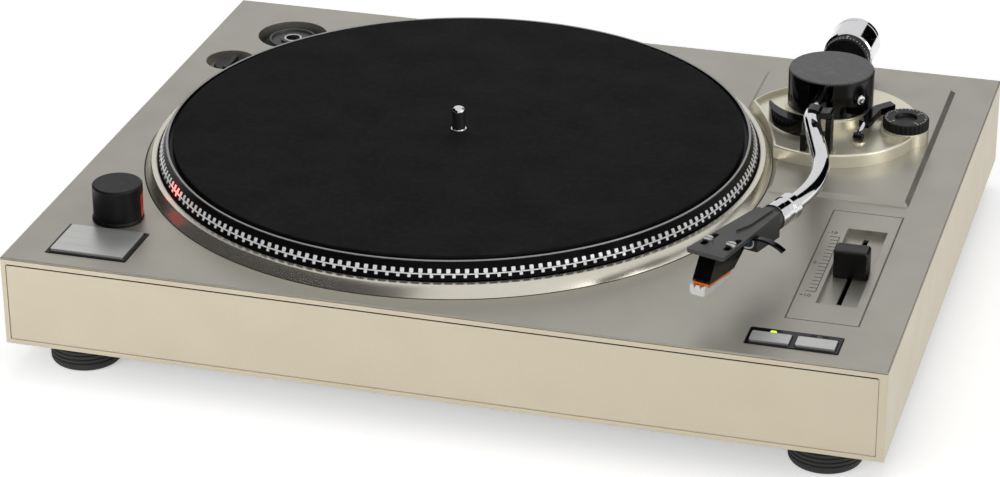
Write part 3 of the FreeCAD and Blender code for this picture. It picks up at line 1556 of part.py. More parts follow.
def rod(frame, start, length, radius):
    """A round bar along the frame's X axis."""
    part = doc.addObject("Part::Cylinder", "Rod")
    part.setExpression("Placement", Frame(start, 0, 0, turned("y", 90), frame).text)
    part.setExpression("Radius", as_size(radius).text)
    part.setExpression("Height", as_size(length).text)
    return part


def pivot_screws():
    """Two pointed screws that carry the gimbal, one from each side."""
    screws = []
    for side in (0, 180):
        turn = Frame(S.arm_x, S.arm_y, pivot_height, turned("z", side - S.gimbal_angle))
        shank = rod(turn, S.pivot_tip_radius, S.niche_depth_radius - S.pivot_tip_radius, S.pivot_shank_radius)
        head = rod(turn, S.niche_depth_radius, S.pivot_head_length, S.pivot_head_radius)
        slot = box(S.niche_depth_radius + S.pivot_head_length / 2, -S.pivot_head_radius, -S.screw_slot / 2,
                   S.pivot_head_length, S.pivot_head_radius * 2, S.screw_slot, turn)
        screws.append(cut(fuse(shank, head), slot))
    doc.recompute()
    group = doc.addObject("Part::Compound", "Group")
    group.Links = screws
    return named("pivot_screws", group)


def turret_cap():
    edge = S.cap_edge
    top = turret_top + S.lid_height
    points = [(0, turret_top), (S.turret_radius, turret_top), (S.turret_radius, top - edge),
              (S.turret_radius - edge, top), (0, top)]
    return turned_body("turret_cap", turret_frame, points)


def bearing_block():
    """The gimbal block: bored for the tube in front, the weight's shaft behind and the screws."""
    body = new_body("block_body", arm_frame)
    ring = circle(sketch(body, lift=-S.block_half_height), 0, 0, S.block_radius)
    pad(body, ring, S.block_half_height * 2)
    front = circle(sketch(body, "XZ_Plane", S.block_wall), S.tube_x, 0, S.tube_radius)
    pocket(body, front, S.block_radius, up=True)
    back = circle(sketch(body, "XZ_Plane", -S.block_wall), 0, 0, S.shaft_radius)
    pocket(body, back, S.block_radius)
    turn = Frame(S.arm_x, S.arm_y, pivot_height, turned("z", -S.gimbal_angle))
    bore = rod(turn, -S.block_radius * 2, S.block_radius * 4, S.pivot_shank_radius + S.pivot_clearance)
    middle = rod(turn, S.block_bridge - S.pivot_tip_radius, (S.pivot_tip_radius - S.block_bridge) * 2,
                 S.block_half_height / 2)
    return named("bearing_block", fuse(cut(body, bore), cut(middle, *tube_and_shaft_space())))


def tube_and_shaft_space():
    """The space that the tube and the shaft take inside the block."""
    front = box(S.tube_x - S.tube_radius, -S.block_radius * 2, -S.tube_radius, S.tube_radius * 2,
                S.block_radius * 2 - S.block_wall, S.tube_radius * 2, arm_frame)
    back = box(-S.shaft_radius, S.block_wall, -S.shaft_radius, S.shaft_radius * 2, S.block_radius * 2,
               S.shaft_radius * 2, arm_frame)
    return [front, back]


def tube_route(drawing):
    """The S line of the tube: two straight bends joined by straight runs."""
    x = S.tube_x
    bend = S.first_bend
    angle = S.head_angle
    points = [(x, -S.block_wall), (x, first_run - S.first_corner),
              (x + first_run * sine(bend), -S.first_corner - first_run * cosine(bend)),
              (second_x - second_run * sine(bend), second_y + second_run * cosine(bend)),
              (second_x - second_run * sine(angle), second_y - second_run * cosine(angle)),
              (head_x + S.collar_gap * sine(angle), head_y + S.collar_gap * cosine(angle))]
    first_centre = (x + S.first_bend_radius, first_run - S.first_corner)
    second_centre = (points[3][0] - S.second_bend_radius * cosine(bend),
                     points[3][1] - S.second_bend_radius * sine(bend))
    arcs = {1: (first_centre, S.first_bend_radius, True), 3: (second_centre, S.second_bend_radius, False)}
    return profile(drawing, points, arcs, closed=False)


def arm_tube():
    body = new_body("arm_tube", arm_frame)
    route = tube_route(sketch(body))
    section = circle(sketch(body, "XZ_Plane", S.block_wall), S.tube_x, 0, S.tube_radius)
    circle(section, S.tube_x, 0, S.tube_bore)
    doc.recompute()
    pipe = body.newObject("PartDesign::AdditivePipe", "Pipe")
    pipe.Profile = section
    pipe.Spine = (route, [f"Edge{number}" for number in range(1, 6)])
    return body


def weight_shaft():
    """The shaft behind the gimbal that the counterweight is screwed along."""
    body = new_body("weight_shaft", arm_frame)
    end = circle(sketch(body, "XZ_Plane", -S.block_wall), 0, 0, S.shaft_radius)
    pad(body, end, S.weight_back - S.weight_cap - S.block_wall - S.trim_gap, down=True)
    return body


def counterweight():
    """A turned weight with two fine grooves and a closed back."""
    bore = S.shaft_radius + S.running_clearance
    front = S.weight_front + S.force_dial_length + S.dial_gap
    back = S.weight_back
    radius = S.weight_radius
    edge = S.weight_edge
    groove = S.weight_groove
    line = back - S.weight_cap
    points = [(bore, front), (radius - edge, front), (radius, front + edge), (radius, line - groove),
              (radius - groove, line - groove / 2), (radius, line), (radius, back - edge),
              (radius - edge, back), (0, back), (0, line), (bore, line)]
    body = new_body("counterweight", arm_frame)
    drawing = sketch(body, "XY_Plane")
    revolve(body, profile(drawing, points))
    return body


def force_dial():
    """The black ring with the force scale, free to turn on the weight's shaft."""
    bore = S.shaft_radius + S.running_clearance
    front = S.weight_front
    back = front + S.force_dial_length
    radius = S.force_dial_radius
    edge = S.weight_edge
    points = [(bore, front), (radius - edge, front), (radius, front + edge), (radius, back), (bore, back)]
    body = new_body("force_dial", arm_frame)
    revolve(body, profile(sketch(body, "XY_Plane"), points))
    return body


def locking_collar():
    """The sleeve that locks the headshell, turned with a waist between two bands."""
    bore = S.tube_radius + S.running_clearance
    radius = S.lock_radius
    length = S.lock_length
    waist = S.lock_waist
    gap = S.collar_gap
    points = [(bore, gap), (radius, gap), (radius, length / 3), (radius - waist, length / 3 + waist),
              (radius - waist, length * 2 / 3 - waist), (radius, length * 2 / 3), (radius, length - waist),
              (radius - waist, length), (bore, length)]
    body = new_body("locking_collar", head_frame)
    revolve(body, profile(sketch(body, "XY_Plane"), points))
    return body


def headshell():
    """A slotted top plate that widens to the front, with a socket block and a ring behind it."""
    body = new_body("headshell", head_frame)
    rear = S.shell_rear_width / 2
    front = S.shell_front_width / 2
    start = S.shell_ring_length
    end = S.shell_length
    corner = S.shell_corner
    plate = profile(sketch(body, lift=S.shell_plate_low), [
        (-rear, -start), (-front, corner - end), (corner - front, -end), (front - corner, -end),
        (front, corner - end), (rear, -start)])
    pad(body, plate, S.shell_plate_thickness)
    block_half = S.shell_block_width / 2
    block = rectangle(sketch(body, lift=-S.shell_block_drop), -block_half, -S.shell_block_length,
                      block_half, -start)
    pad(body, block, S.shell_block_drop + S.shell_plate_low + S.shell_plate_thickness / 2)
    ridge_half = S.shell_ridge_width / 2
    ridge = profile(sketch(body, lift=S.shell_plate_low + S.shell_plate_thickness), [
        (-ridge_half, -start), (-ridge_half, -S.shell_block_length), (0, -S.shell_ridge_length),
        (ridge_half, -S.shell_block_length), (ridge_half, -start)])
    pad(body, ridge, S.shell_ridge_height)
    ring = circle(sketch(body, "XZ_Plane", 0), 0, 0, S.shell_ring_radius)
    pad(body, ring, start + S.trim_gap)
    slots = sketch(body, lift=S.shell_plate_low)
    for side in (-1, 1):
        middle = side * S.screw_spacing / 2
        half = S.shell_slot_width / 2
        rounded(slots, middle - half, -S.shell_slot_end, middle + half, -S.shell_slot_start,
                half - S.shell_slot_flat)
    pocket(body, slots)
    return body


def cartridge():
    """The pickup: a wedge shaped body with two mounting ears under the headshell's plate."""
    body = new_body("cartridge", head_frame)
    half = S.pickup_width / 2
    top = S.shell_plate_low
    side = sketch(body, "YZ_Plane", -half)
    nose = S.pickup_front
    profile(side, [
        (-S.pickup_back, top), (-S.pickup_back, top - S.pickup_back_height),
        (-S.pickup_heel, -S.pickup_drop), (-nose, -S.pickup_drop),
        (-nose, S.pickup_toe - S.pickup_drop), (S.pickup_lean - nose, top)])
    pad(body, side, S.pickup_width)
    ears = S.screw_spacing / 2 + S.ear_reach
    ear = rectangle(sketch(body, lift=top), -ears, -S.ear_front, ears, -S.ear_back)
    pad(body, ear, S.ear_height, down=True)
    holes = sketch(body, lift=top)
    for end in (-1, 1):
        circle(holes, end * S.screw_spacing / 2, -S.shell_screw_reach, S.pickup_screw_radius)
    pocket(body, holes, S.ear_height)
    return body


def stylus():
    """The coloured stylus holder under the pickup, with its thin cantilever and tip."""
    body = new_body("stylus", head_frame)
    half = S.stylus_width / 2
    low = -S.pickup_drop - S.stylus_height
    plate = rectangle(sketch(body, lift=low), -half, -S.stylus_front, half, -S.stylus_back)
    pad(body, plate, S.stylus_height)
    lever = sketch(body, "YZ_Plane", -S.cantilever_width / 2)
    thick = S.cantilever_width
    profile(lever, [(-S.stylus_back, low + thick), (-S.stylus_tip_reach, low - S.tip_drop + thick),
                    (-S.stylus_tip_reach, low - S.tip_drop - thick / 2),
                    (thick - S.stylus_tip_reach, low - S.tip_drop), (-S.stylus_back, low - thick)])
    pad(body, lever, S.cantilever_width)
    return body


def stylus_guard():
    """The clear guard: floor, sides and nose, open behind, so that it pulls off forward."""
    body = new_body("stylus_guard", head_frame)
    half = S.guard_width / 2
    low = -S.guard_drop
    high = -S.pickup_drop - S.stylus_height - S.guard_gap
    shell = rectangle(sketch(body, lift=low), -half, -S.guard_front, half, -S.guard_back)
    pad(body, shell, high - low)
    inner = half - S.guard_wall
    hollow = rectangle(sketch(body, lift=low + S.guard_wall), -inner, S.guard_wall - S.guard_front, inner, 0)
    pocket(body, hollow, S.guard_drop, up=True)
    nose = rectangle(sketch(body, lift=high), -half, -S.guard_front, half, S.guard_wall - S.guard_front)
    pad(body, nose, S.guard_nose_height)
    return body


def cartridge_screws():
    """Two slotted screws through the headshell's slots into the pickup's ears."""
    screws = []
    top = S.shell_plate_low + S.shell_plate_thickness
    for side in (-1, 1):
        place = Frame(side * S.screw_spacing / 2, -S.shell_screw_reach, top, inside=head_frame)
        body = new_body("screw", place)
        pad(body, circle(sketch(body), 0, 0, S.pickup_head_radius), S.pickup_head_height)
        shank = circle(sketch(body), 0, 0, S.pickup_screw_radius)
        pad(body, shank, S.shell_plate_thickness + S.ear_height, down=True)
        half = S.pickup_head_radius * 2
        slot_half = S.screw_slot / 2
        slot = rectangle(sketch(body, lift=S.pickup_head_height), -half, -slot_half, half, slot_half)
        pocket(body, slot, S.pickup_head_height / 2)
        screws.append(body)
    group = doc.addObject("Part::Compound", "Group")
    group.Links = screws
    return named("cartridge_screws", group)


def cartridge_leads():
    """Four thin leads, each a shallow arch from the socket block to the pickup's back."""
    leads = []
    start = -S.shell_block_length - S.lead_gap
    end = S.lead_gap - S.pickup_back
    rise = -S.lead_sag
    for place in range(4):
        x = S.lead_pitch * (place - 1.5)
        level = S.lead_level
        points = [Vector(x.value, start.value, level.value),
                  Vector(x.value, (start.value + end.value) / 2, (level + rise).value),
                  Vector(x.value, end.value, level.value)]
        arch = Part.Wire([Part.Arc(*points).toShape()])
        tangent_line = arch.Edges[0].tangentAt(arch.Edges[0].FirstParameter)
        ring = Part.Wire([Part.Circle(points[0], tangent_line, S.lead_radius.value).toShape()])
        leads.append(arch.makePipeShell([ring], True, True))
    part = feature("cartridge_leads", Part.Compound(leads))
    part.setExpression("Placement", head_frame.text)
    return part


def finger_lift():
    """A thin strip held under the headshell's right edge, arched up and then down to its tip."""
    body = new_body("finger_lift", head_frame)
    top = S.shell_plate_low
    low = top - S.finger_thickness
    crown = S.finger_crown
    middle = top - S.finger_drop
    run = crown - S.finger_tab
    outer = root(run * run + (top - middle) * (top - middle))
    inner = root(run * run + (low - middle) * (low - middle))
    sweep = S.finger_sweep
    drawing = sketch(body, "XZ_Plane", S.finger_back)
    points = [(S.finger_root, low), (S.finger_tab, low),
              (crown + inner * sine(sweep), middle + inner * cosine(sweep)),
              (crown + outer * sine(sweep), middle + outer * cosine(sweep)),
              (S.finger_tab, top), (S.finger_root, top)]
    profile(drawing, points, {1: ((crown, middle), inner, False), 3: ((crown, middle), outer, True)})
    pad(body, drawing, S.finger_width)
    return body


def antiskate_dial():
    """A knurled dial on the lobe, dished in the middle."""
    low = tray_top + S.lobe_rise + S.dial_gap
    top = low + S.dial_height
    radius = S.dial_radius
    edge = S.dial_edge
    points = [(0, low), (radius, low), (radius, top - edge), (radius - edge, top), (S.dial_dish_radius, top),
              (S.dial_dish_radius - edge, top - S.dial_dish_depth), (0, top - S.dial_dish_depth)]
    body = turned_body("antiskate_dial", Frame(S.dial_x, S.dial_y, 0), points)
    notch = sketch(body, lift=low)
    circle(notch, radius + S.knurl_radius / 2, 0, S.knurl_radius)
    knurl = pocket(body, notch, S.dial_height * 2, up=True)
    around(body, knurl, notch, S.knurl_count)
    return body


rest_left = S.rest_x - S.rest_width
rest_right = S.rest_x
rest_front = S.rest_y
wand_rest_rise = S.arm_y - S.rest_y
wand_low = pivot_height - S.tube_radius + (wand_rest_rise - S.rest_depth) * tangent(S.arm_slope)
wand_middle = pivot_height + (wand_rest_rise - S.rest_depth / 2) * tangent(S.arm_slope)


def arm_rest():
    """The rest: a wall on the right, a saddle under the tube and a short post on the left."""
    body = new_body("arm_rest", Frame())
    wall = S.rest_wall
    saddle = wand_low - S.saddle_gap
    face = sketch(body, "XZ_Plane", -rest_front)
    top = rest_hinge_height() - S.knuckle_radius - S.trim_gap
    profile(face, [
        (rest_right - wall, tray_top), (rest_right, tray_top), (rest_right, top), (rest_right - wall, top),
        (rest_right - wall, saddle), (rest_left, saddle), (rest_left, tray_top), (rest_left + wall, tray_top),
        (rest_left + wall, saddle - wall), (rest_right - wall, saddle - wall)])
    pad(body, face, S.rest_depth, down=True)
    return body


def rest_hinge_height():
    return wand_middle + S.tube_radius + S.clip_gap - S.clip_sag + S.knuckle_radius


def rest_clip():
    """The clip: a hook over the tube, open on the platter's side, hinged on the rest's wall."""
    front = rest_front + S.clip_inset
    depth = S.rest_depth - S.clip_inset * 2
    apex = wand_middle + S.tube_radius + S.clip_gap
    centre = (S.clip_x, apex - S.clip_radius)
    outer = doc.addObject("Part::Cylinder", "Arch")
    outer.setExpression("Placement", Frame(centre[0], front + depth, centre[1], turned("x", 90)).text)
    outer.setExpression("Radius", (S.clip_radius + S.clip_thickness).text)
    outer.setExpression("Height", depth.text)
    inner = doc.addObject("Part::Cylinder", "Bore")
    inner.setExpression("Placement", Frame(centre[0], front + depth * 2, centre[1], turned("x", 90)).text)
    inner.setExpression("Radius", S.clip_radius.text)
    inner.setExpression("Height", (depth * 3).text)
    low = apex - S.clip_sag
    below = box(centre[0] - S.clip_radius * 2, front - depth, low - S.clip_radius * 4,
                S.clip_radius * 4, depth * 3, S.clip_radius * 4)
    hinge_x = rest_right - S.rest_wall / 2
    knuckle = doc.addObject("Part::Cylinder", "Knuckle")
    hinge = Frame(hinge_x, front + depth, rest_hinge_height(), turned("x", 90))
    knuckle.setExpression("Placement", hinge.text)
    knuckle.setExpression("Radius", S.knuckle_radius.text)
    knuckle.setExpression("Height", depth.text)
    link_left = centre[0] + S.clip_link_reach
    link = box(link_left, front, rest_hinge_height() - S.knuckle_radius, hinge_x - link_left, depth,
               S.clip_link_height)
    beside = box(centre[0] - S.clip_radius * 2, front - depth, low - S.clip_radius,
                 S.clip_radius * 2 - S.clip_reach, depth * 3, S.clip_radius * 3)
    arch = cut(outer, inner, below, beside)
    return named("rest_clip", cut(fuse(arch, knuckle, link), inner))


def cue_lift():
    """The arm lift's platform: a crescent round the pivot, thin at the end away from the arm."""
    body = new_body("cue_lift", turret_frame)
    inner = S.lift_inner_radius
    outer = S.lift_outer_radius
    low = tray_top + S.lift_seat
    top = pivot_height - S.tube_radius + S.lift_inner_radius * tangent(S.arm_slope) - S.lift_gap
    start = S.lift_start
    end = S.lift_end
    # The outer arc's centre is moved towards the arm, which draws the other end in to a tip.
    shift = S.lift_taper
    middle = (shift * cosine(end), shift * sine(end))
    along = shift * cosine(end - start)
    tip = along + root(along * along - shift * shift + (outer - shift) * (outer - shift))
    points = [(inner * cosine(end), inner * sine(end)), (inner * cosine(start), inner * sine(start)),
              (tip * cosine(start), tip * sine(start)), (outer * cosine(end), outer * sine(end))]
    arcs = {0: ((0, 0), inner, False), 2: (middle, outer - shift, True)}
    pad(body, profile(sketch(body, lift=low), points, arcs), top - low)
    return body


def cue_lever():
    """The lift's lever: a hub, a bright rod and a black grip that bends round the side force dial."""
    height = tray_floor + S.lever_boss_height + S.trim_gap + S.lever_hub_radius
    frame = Frame(S.lever_x, S.lever_y, height, turned("z", -S.lever_angle))
    hub = rod(frame, -S.lever_hub_length / 2, S.lever_hub_length, S.lever_hub_radius)
    body = new_body("lever_arm", frame)
    side = sketch(body, "YZ_Plane", -S.lever_rod_width / 2)
    rise = S.lever_rise
    half = S.lever_rod_width / 2
    length = S.lever_rod_length
    profile(side, [(0, -half), (length, rise - half), (length + half * 2, rise - half),
                   (length + half * 2, rise + half), (0, half * 2)])
    pad(body, side, S.lever_rod_width)
    grip_half = S.lever_grip_width / 2
    end_x = grip_half + S.lever_end_shift
    end_y = S.lever_bend + S.lever_end_reach
    grip = profile(sketch(body, lift=rise - S.lever_grip_height / 2), [
        (-grip_half, length), (grip_half, length), (grip_half, S.lever_bend), (end_x, end_y),
        (end_x - S.lever_end_width, end_y + S.lever_end_slant),
        (S.lever_inner_step - grip_half, S.lever_inner_bend)])
    pad(body, grip, S.lever_grip_height)
    return named("cue_lever", fuse(hub, body))


def feet():
    places = {"front_left": (-1, -1), "front_right": (1, -1), "rear_left": (-1, 1), "rear_right": (1, 1)}
    return [foot(f"foot_{name}", side, end) for name, (side, end) in places.items()]


def all_parts():
    """Build every sub-part of the player, from the ground up."""
    makers = [
        top_plate, plinth_frame, front_panel, bottom_cover, case_screws, platter, platter_mat, spindle,
        bearing_housing, bearing_sleeve, drive_belt, motor, motor_pulley, strobe_tower, strobe_window,
        power_knob, power_switch, start_bezel, start_button, speed_bezel, speed_button_33,
        speed_button_45, speed_lamps, button_boards, pitch_fader, pitch_cap, record_adaptor, jack_panel,
        rear_terminals, power_inlet, main_board, transformer, arm_base, turret_seat, arm_pillar,
        arm_turret, turret_cap, pivot_screws, bearing_block, arm_tube, weight_shaft, counterweight,
        force_dial, locking_collar, headshell, cartridge, stylus, stylus_guard, cartridge_screws,
        cartridge_leads, finger_lift, antiskate_dial, arm_rest, rest_clip, cue_lift, cue_lever]
    return feet() + [maker() for maker in makers]


def write_parts():
    """Check every object of the document, then write one file for each sub-part."""
    parts = all_parts()
    doc.recompute()
    broken = [each.Label for each in doc.Objects if {"Invalid", "Error"} & set(each.State)]
    broken += [part.Label for part in parts if part.Shape.isNull() or not part.Shape.isValid()]
    if broken:
        raise RuntimeError(f"these did not build: {broken}")
    os.makedirs("parts", exist_ok=True)
    for part in parts:
        part.Shape.exportStep(f"parts/{part.Label}.step")
        print(f"{part.Label}: {len(part.Shape.Solids)} solids, {part.Shape.Volume:.1f} mm3")


write_parts()
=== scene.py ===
"""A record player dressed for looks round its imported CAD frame."""

from __future__ import annotations

import json
import logging
import math
from collections.abc import Callable, Iterable, Sequence
from dataclasses import dataclass
from enum import Enum

import bmesh
import bpy
from mathutils import Matrix, Vector

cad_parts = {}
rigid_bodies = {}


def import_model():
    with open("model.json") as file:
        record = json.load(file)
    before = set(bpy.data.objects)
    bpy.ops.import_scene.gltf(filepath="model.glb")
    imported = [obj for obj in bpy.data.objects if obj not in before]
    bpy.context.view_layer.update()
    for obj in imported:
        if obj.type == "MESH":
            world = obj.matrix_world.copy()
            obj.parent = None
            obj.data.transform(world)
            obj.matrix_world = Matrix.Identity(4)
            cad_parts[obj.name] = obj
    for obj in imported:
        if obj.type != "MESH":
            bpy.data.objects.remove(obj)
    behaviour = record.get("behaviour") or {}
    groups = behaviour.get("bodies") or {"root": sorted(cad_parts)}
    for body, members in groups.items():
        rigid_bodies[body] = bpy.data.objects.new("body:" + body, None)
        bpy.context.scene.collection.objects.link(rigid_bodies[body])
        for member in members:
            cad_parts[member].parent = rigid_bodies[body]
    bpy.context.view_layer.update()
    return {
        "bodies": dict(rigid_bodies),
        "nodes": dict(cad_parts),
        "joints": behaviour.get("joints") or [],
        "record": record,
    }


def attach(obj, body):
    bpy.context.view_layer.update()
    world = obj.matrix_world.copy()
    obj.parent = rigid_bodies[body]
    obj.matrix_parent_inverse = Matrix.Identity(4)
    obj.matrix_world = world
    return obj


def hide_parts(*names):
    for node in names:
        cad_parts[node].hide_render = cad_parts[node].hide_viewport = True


LOG = logging.getLogger("record_player")
MM = 0.001
TURN = 2 * math.pi
Colour = tuple[float, float, float]
Point = tuple[float, float]
Place = tuple[float, float, float]
Socket = bpy.types.NodeSocket
Outputs = bpy.types.bpy_prop_collection
Lookup = Callable[[str], Socket]


def paint(red: int, green: int, blue: int) -> Colour:
    """Turn a colour as it is seen on screen into the linear one that a shader takes.

    Args:
        red: Red, 0 to 255.
        green: Green, 0 to 255.
        blue: Blue, 0 to 255.

    Returns:
        The same colour in linear light.
    """
    shares = (red / 255, green / 255, blue / 255)
    return tuple(c / 12.92 if c <= 0.04045 else ((c + 0.055) / 1.055) ** 2.4 for c in shares)


def grey(level: int) -> Colour:
    """A grey as it is seen on screen, 0 to 255."""
    return paint(level, level, level)


def toned(colour: Colour, share: float) -> Colour:
    """A colour made darker or lighter by a factor, and kept from passing white."""
    return tuple(min(1.0, c * share) for c in colour)


class Graph:
    """A node tree with short calls for adding and joining its nodes."""

    def __init__(self, tree: bpy.types.NodeTree) -> None:
        """Work on the given tree."""
        self.tree = tree

    @classmethod
    def fresh(cls, owner: bpy.types.ID) -> Graph:
        """Empty the tree of a new material or world.

        Args:
            owner: The material or world.

        Returns:
            A graph for its tree.
        """
        owner.use_nodes = True
        owner.node_tree.nodes.clear()
        return cls(owner.node_tree)

    def node(self, kind: str, **settings: object) -> bpy.types.Node:
        """Add a node.

        Args:
            kind: The node's type.
            **settings: Attributes to set on it.

        Returns:
            The new node.
        """
        made = self.tree.nodes.new(kind)
        for name, value in settings.items():
            setattr(made, name, value)
        return made

    def plug(self, target: Socket, source: object) -> None:
        """Link a socket to another one, or set it to a plain value.

        Args:
            target: The socket that takes it.
            source: A socket or a value.
        """
        if isinstance(source, Socket):
            self.tree.links.new(source, target)
        else:
            target.default_value = source

    def math(self, operation: str, first: object, second: object = 0.0, clamp: bool = False) -> Socket:
        """Join two values by a sum, product or other operation.

        Args:
            operation: Blender's name of it.
            first: The first value or socket.
            second: The second value or socket.
            clamp: Whether the result is kept from 0 to 1.

        Returns:
            The result's socket.
        """
        made = self.node("ShaderNodeMath", operation=operation, use_clamp=clamp)
        self.plug(made.inputs[0], first)
        self.plug(made.inputs[1], second)
        return made.outputs[0]

    def vector(self, operation: str, first: object, second: object = (0.0, 0.0, 0.0)) -> Outputs:
        """Join two vectors.

        Args:
            operation: Blender's name of it.
            first: The first vector or socket.
            second: The second vector or socket.

        Returns:
            The outputs, Vector and Value.
        """
        made = self.node("ShaderNodeVectorMath", operation=operation)
        self.plug(made.inputs[0], first)
        self.plug(made.inputs[1], second)
        return made.outputs

    def remap(self, value: object, low: float, high: float, to_low: float = 0.0,
              to_high: float = 1.0) -> Socket:
        """Stretch a range of values to another one, and hold what lies outside it.

        Args:
            value: The value's socket.
            low: Where the range starts.
            high: Where it ends.
            to_low: What the start becomes.
            to_high: What the end becomes.

        Returns:
            The new value's socket.
        """
        made = self.node("ShaderNodeMapRange", clamp=True)
        for socket, given in zip(made.inputs, (value, low, high, to_low, to_high)):
            self.plug(socket, given)
        return made.outputs[0]

    def blend(self, share: object, first: object, second: object) -> Socket:
        """Mix two colours.

        Args:
            share: How much of the second one there is.
            first: The first colour or socket.
            second: The second colour or socket.

        Returns:
            The mixed colour's socket.
        """
        made = self.node("ShaderNodeMix", data_type="RGBA")
        self.plug(made.inputs[0], share)
        # The colours' sockets come after those for numbers and vectors.
        for socket, colour in ((made.inputs[6], first), (made.inputs[7], second)):
            self.plug(socket, (*colour, 1.0) if isinstance(colour, tuple) else colour)
        return made.outputs[2]

    def noise(self, place: object, scale: object, detail: float = 2.0, dimensions: str = "3D") -> Socket:
        """Smooth noise.

        Args:
            place: The point, or in one dimension the number, that it is read at.
            scale: Its scale, per metre.
            detail: How many finer layers it has.
            dimensions: 1D or 3D.

        Returns:
            The socket of its value, about 0.5 on average.
        """
        made = self.node("ShaderNodeTexNoise", noise_dimensions=dimensions)
        self.plug(made.inputs["W" if dimensions == "1D" else "Vector"], place)
        self.plug(made.inputs["Scale"], scale)
        self.plug(made.inputs["Detail"], detail)
        return made.outputs[0]

    def place(self) -> Socket:
        """The point on the piece, which moves with it."""
        return self.node("ShaderNodeTexCoord").outputs["Object"]

    def clouds(self, scale: float) -> Socket:
        """Cloudy patches, from zero to one."""
        return self.remap(self.noise(self.place(), scale, 3.0), 0.3, 0.7)

    def along(self, axis: str, vector: Socket | None = None) -> Socket:
        """One part of a vector.

        Args:
            axis: X, Y or Z.
            vector: The vector, or none for the point on the piece.

        Returns:
            That part's socket.
        """
        split = self.node("ShaderNodeSeparateXYZ")
        self.plug(split.inputs[0], self.place() if vector is None else vector)
        return split.outputs[axis]

    def seen(self) -> Socket:
        """Tell the rays that look at a surface from those that only carry light.

        Returns:
            One for a ray from the camera, polish or glass, and zero for the others.
        """
        rays = self.node("ShaderNodeLightPath").outputs
        seen = self.math("MAXIMUM", rays["Is Camera Ray"], rays["Is Glossy Ray"])
        return self.math("MAXIMUM", seen, rays["Is Transmission Ray"])


class Effect:
    """A surface effect that several finishes share: one node group, built when it is first used."""

    name: str
    takes: dict[str, object]
    gives: tuple[str, ...]

    @classmethod
    def build(cls, graph: Graph, given: Lookup) -> dict[str, Socket]:
        """Fill the group.

        Args:
            graph: The group's tree.
            given: Looks up an input by its name.

        Returns:
            The socket of each output.
        """
        raise NotImplementedError

    @classmethod
    def tree(cls) -> bpy.types.NodeTree:
        """Find or make the group's tree.

        Returns:
            The tree, built when it is first asked for.
        """
        found = bpy.data.node_groups.get(cls.name)
        if found:
            return found
        tree = bpy.data.node_groups.new(cls.name, "ShaderNodeTree")
        for label, value in cls.takes.items():
            kind = "NodeSocketVector" if isinstance(value, tuple) else "NodeSocketFloat"
            tree.interface.new_socket(label, in_out="INPUT", socket_type=kind).default_value = value
        for label in cls.gives:
            kind = "NodeSocketVector" if label == "Normal" else "NodeSocketFloat"
            tree.interface.new_socket(label, in_out="OUTPUT", socket_type=kind)
        graph = Graph(tree)
        inputs = graph.node("NodeGroupInput").outputs
        outputs = graph.node("NodeGroupOutput").inputs
        for label, source in cls.build(graph, lambda label: inputs[label]).items():
            graph.plug(outputs[label], source)
        return tree

    @classmethod
    def on(cls, graph: Graph, **values: object) -> Outputs:
        """Place the group in a material.

        Args:
            graph: The material's tree.
            **values: Its inputs.

        Returns:
            The group node's outputs.
        """
        made = graph.node("ShaderNodeGroup", node_tree=cls.tree())
        for label, value in values.items():
            graph.plug(made.inputs[label], value)
        return made.outputs


class EdgeWear(Effect):
    """Rounded edges, and a broken mask along them where hands and cloths rub, which some finishes also use
    for a painted highlight along the edges.
    """

    name = "edge wear"
    takes = {"Radius": 0.0005, "Amount": 1.0, "Breakup": 900.0}
    gives = ("Mask", "Normal")
    bend_range = (0.015, 0.2)
    break_range = (0.42, 0.62)

    @classmethod
    def build(cls, graph: Graph, given: Lookup) -> dict[str, Socket]:
        """Compare the rounded normal with the true one.

        Args:
            graph: The group's tree.
            given: Looks up an input by its name.

        Returns:
            The socket of each output.
        """
        rounded = graph.node("ShaderNodeBevel", samples=4)
        graph.plug(rounded.inputs["Radius"], given("Radius"))
        true = graph.node("ShaderNodeNewGeometry").outputs["Normal"]
        likeness = graph.vector("DOT_PRODUCT", rounded.outputs[0], true)["Value"]
        edge = graph.remap(graph.math("SUBTRACT", 1.0, likeness), *cls.bend_range)
        broken = graph.remap(graph.noise(graph.place(), given("Breakup"), 3.0), *cls.break_range)
        mask = graph.math("MULTIPLY", graph.math("MULTIPLY", edge, broken), given("Amount"), clamp=True)
        return {"Mask": mask, "Normal": rounded.outputs[0]}


class FineGrain(Effect):
    """The fine even grain of moulded plastic, rubber and cast metal."""

    name = "fine grain"
    takes = {"Scale": 1500.0}
    gives = ("Height", "Tone")
    coarseness = 0.17
    tone_range = (0.7, 1.3)

    @classmethod
    def build(cls, graph: Graph, given: Lookup) -> dict[str, Socket]:
        """Layer a fine noise over a coarser one.

        Args:
            graph: The group's tree.
            given: Looks up an input by its name.

        Returns:
            The socket of each output.
        """
        fine = graph.noise(graph.place(), given("Scale"), 2.0)
        coarse = graph.noise(graph.place(), graph.math("MULTIPLY", given("Scale"), cls.coarseness), 3.0)
        return {"Height": fine, "Tone": graph.remap(graph.math("ADD", fine, coarse), *cls.tone_range)}


class BrushedLines(Effect):
    """Fine straight scratches, long in the direction that Stretch holds low."""

    name = "brushed lines"
    takes = {"Scale": 900.0, "Stretch": (0.02, 1.0, 1.0)}
    gives = ("Height", "Tone")
    tone_range = (0.3, 0.7)

    @classmethod
    def build(cls, graph: Graph, given: Lookup) -> dict[str, Socket]:
        """Read noise at points that are drawn together along the lines.

        Args:
            graph: The group's tree.
            given: Looks up an input by its name.

        Returns:
            The socket of each output.
        """
        drawn = graph.vector("MULTIPLY", graph.place(), given("Stretch"))["Vector"]
        lines = graph.noise(drawn, given("Scale"), 4.0)
        return {"Height": lines, "Tone": graph.remap(lines, *cls.tone_range)}


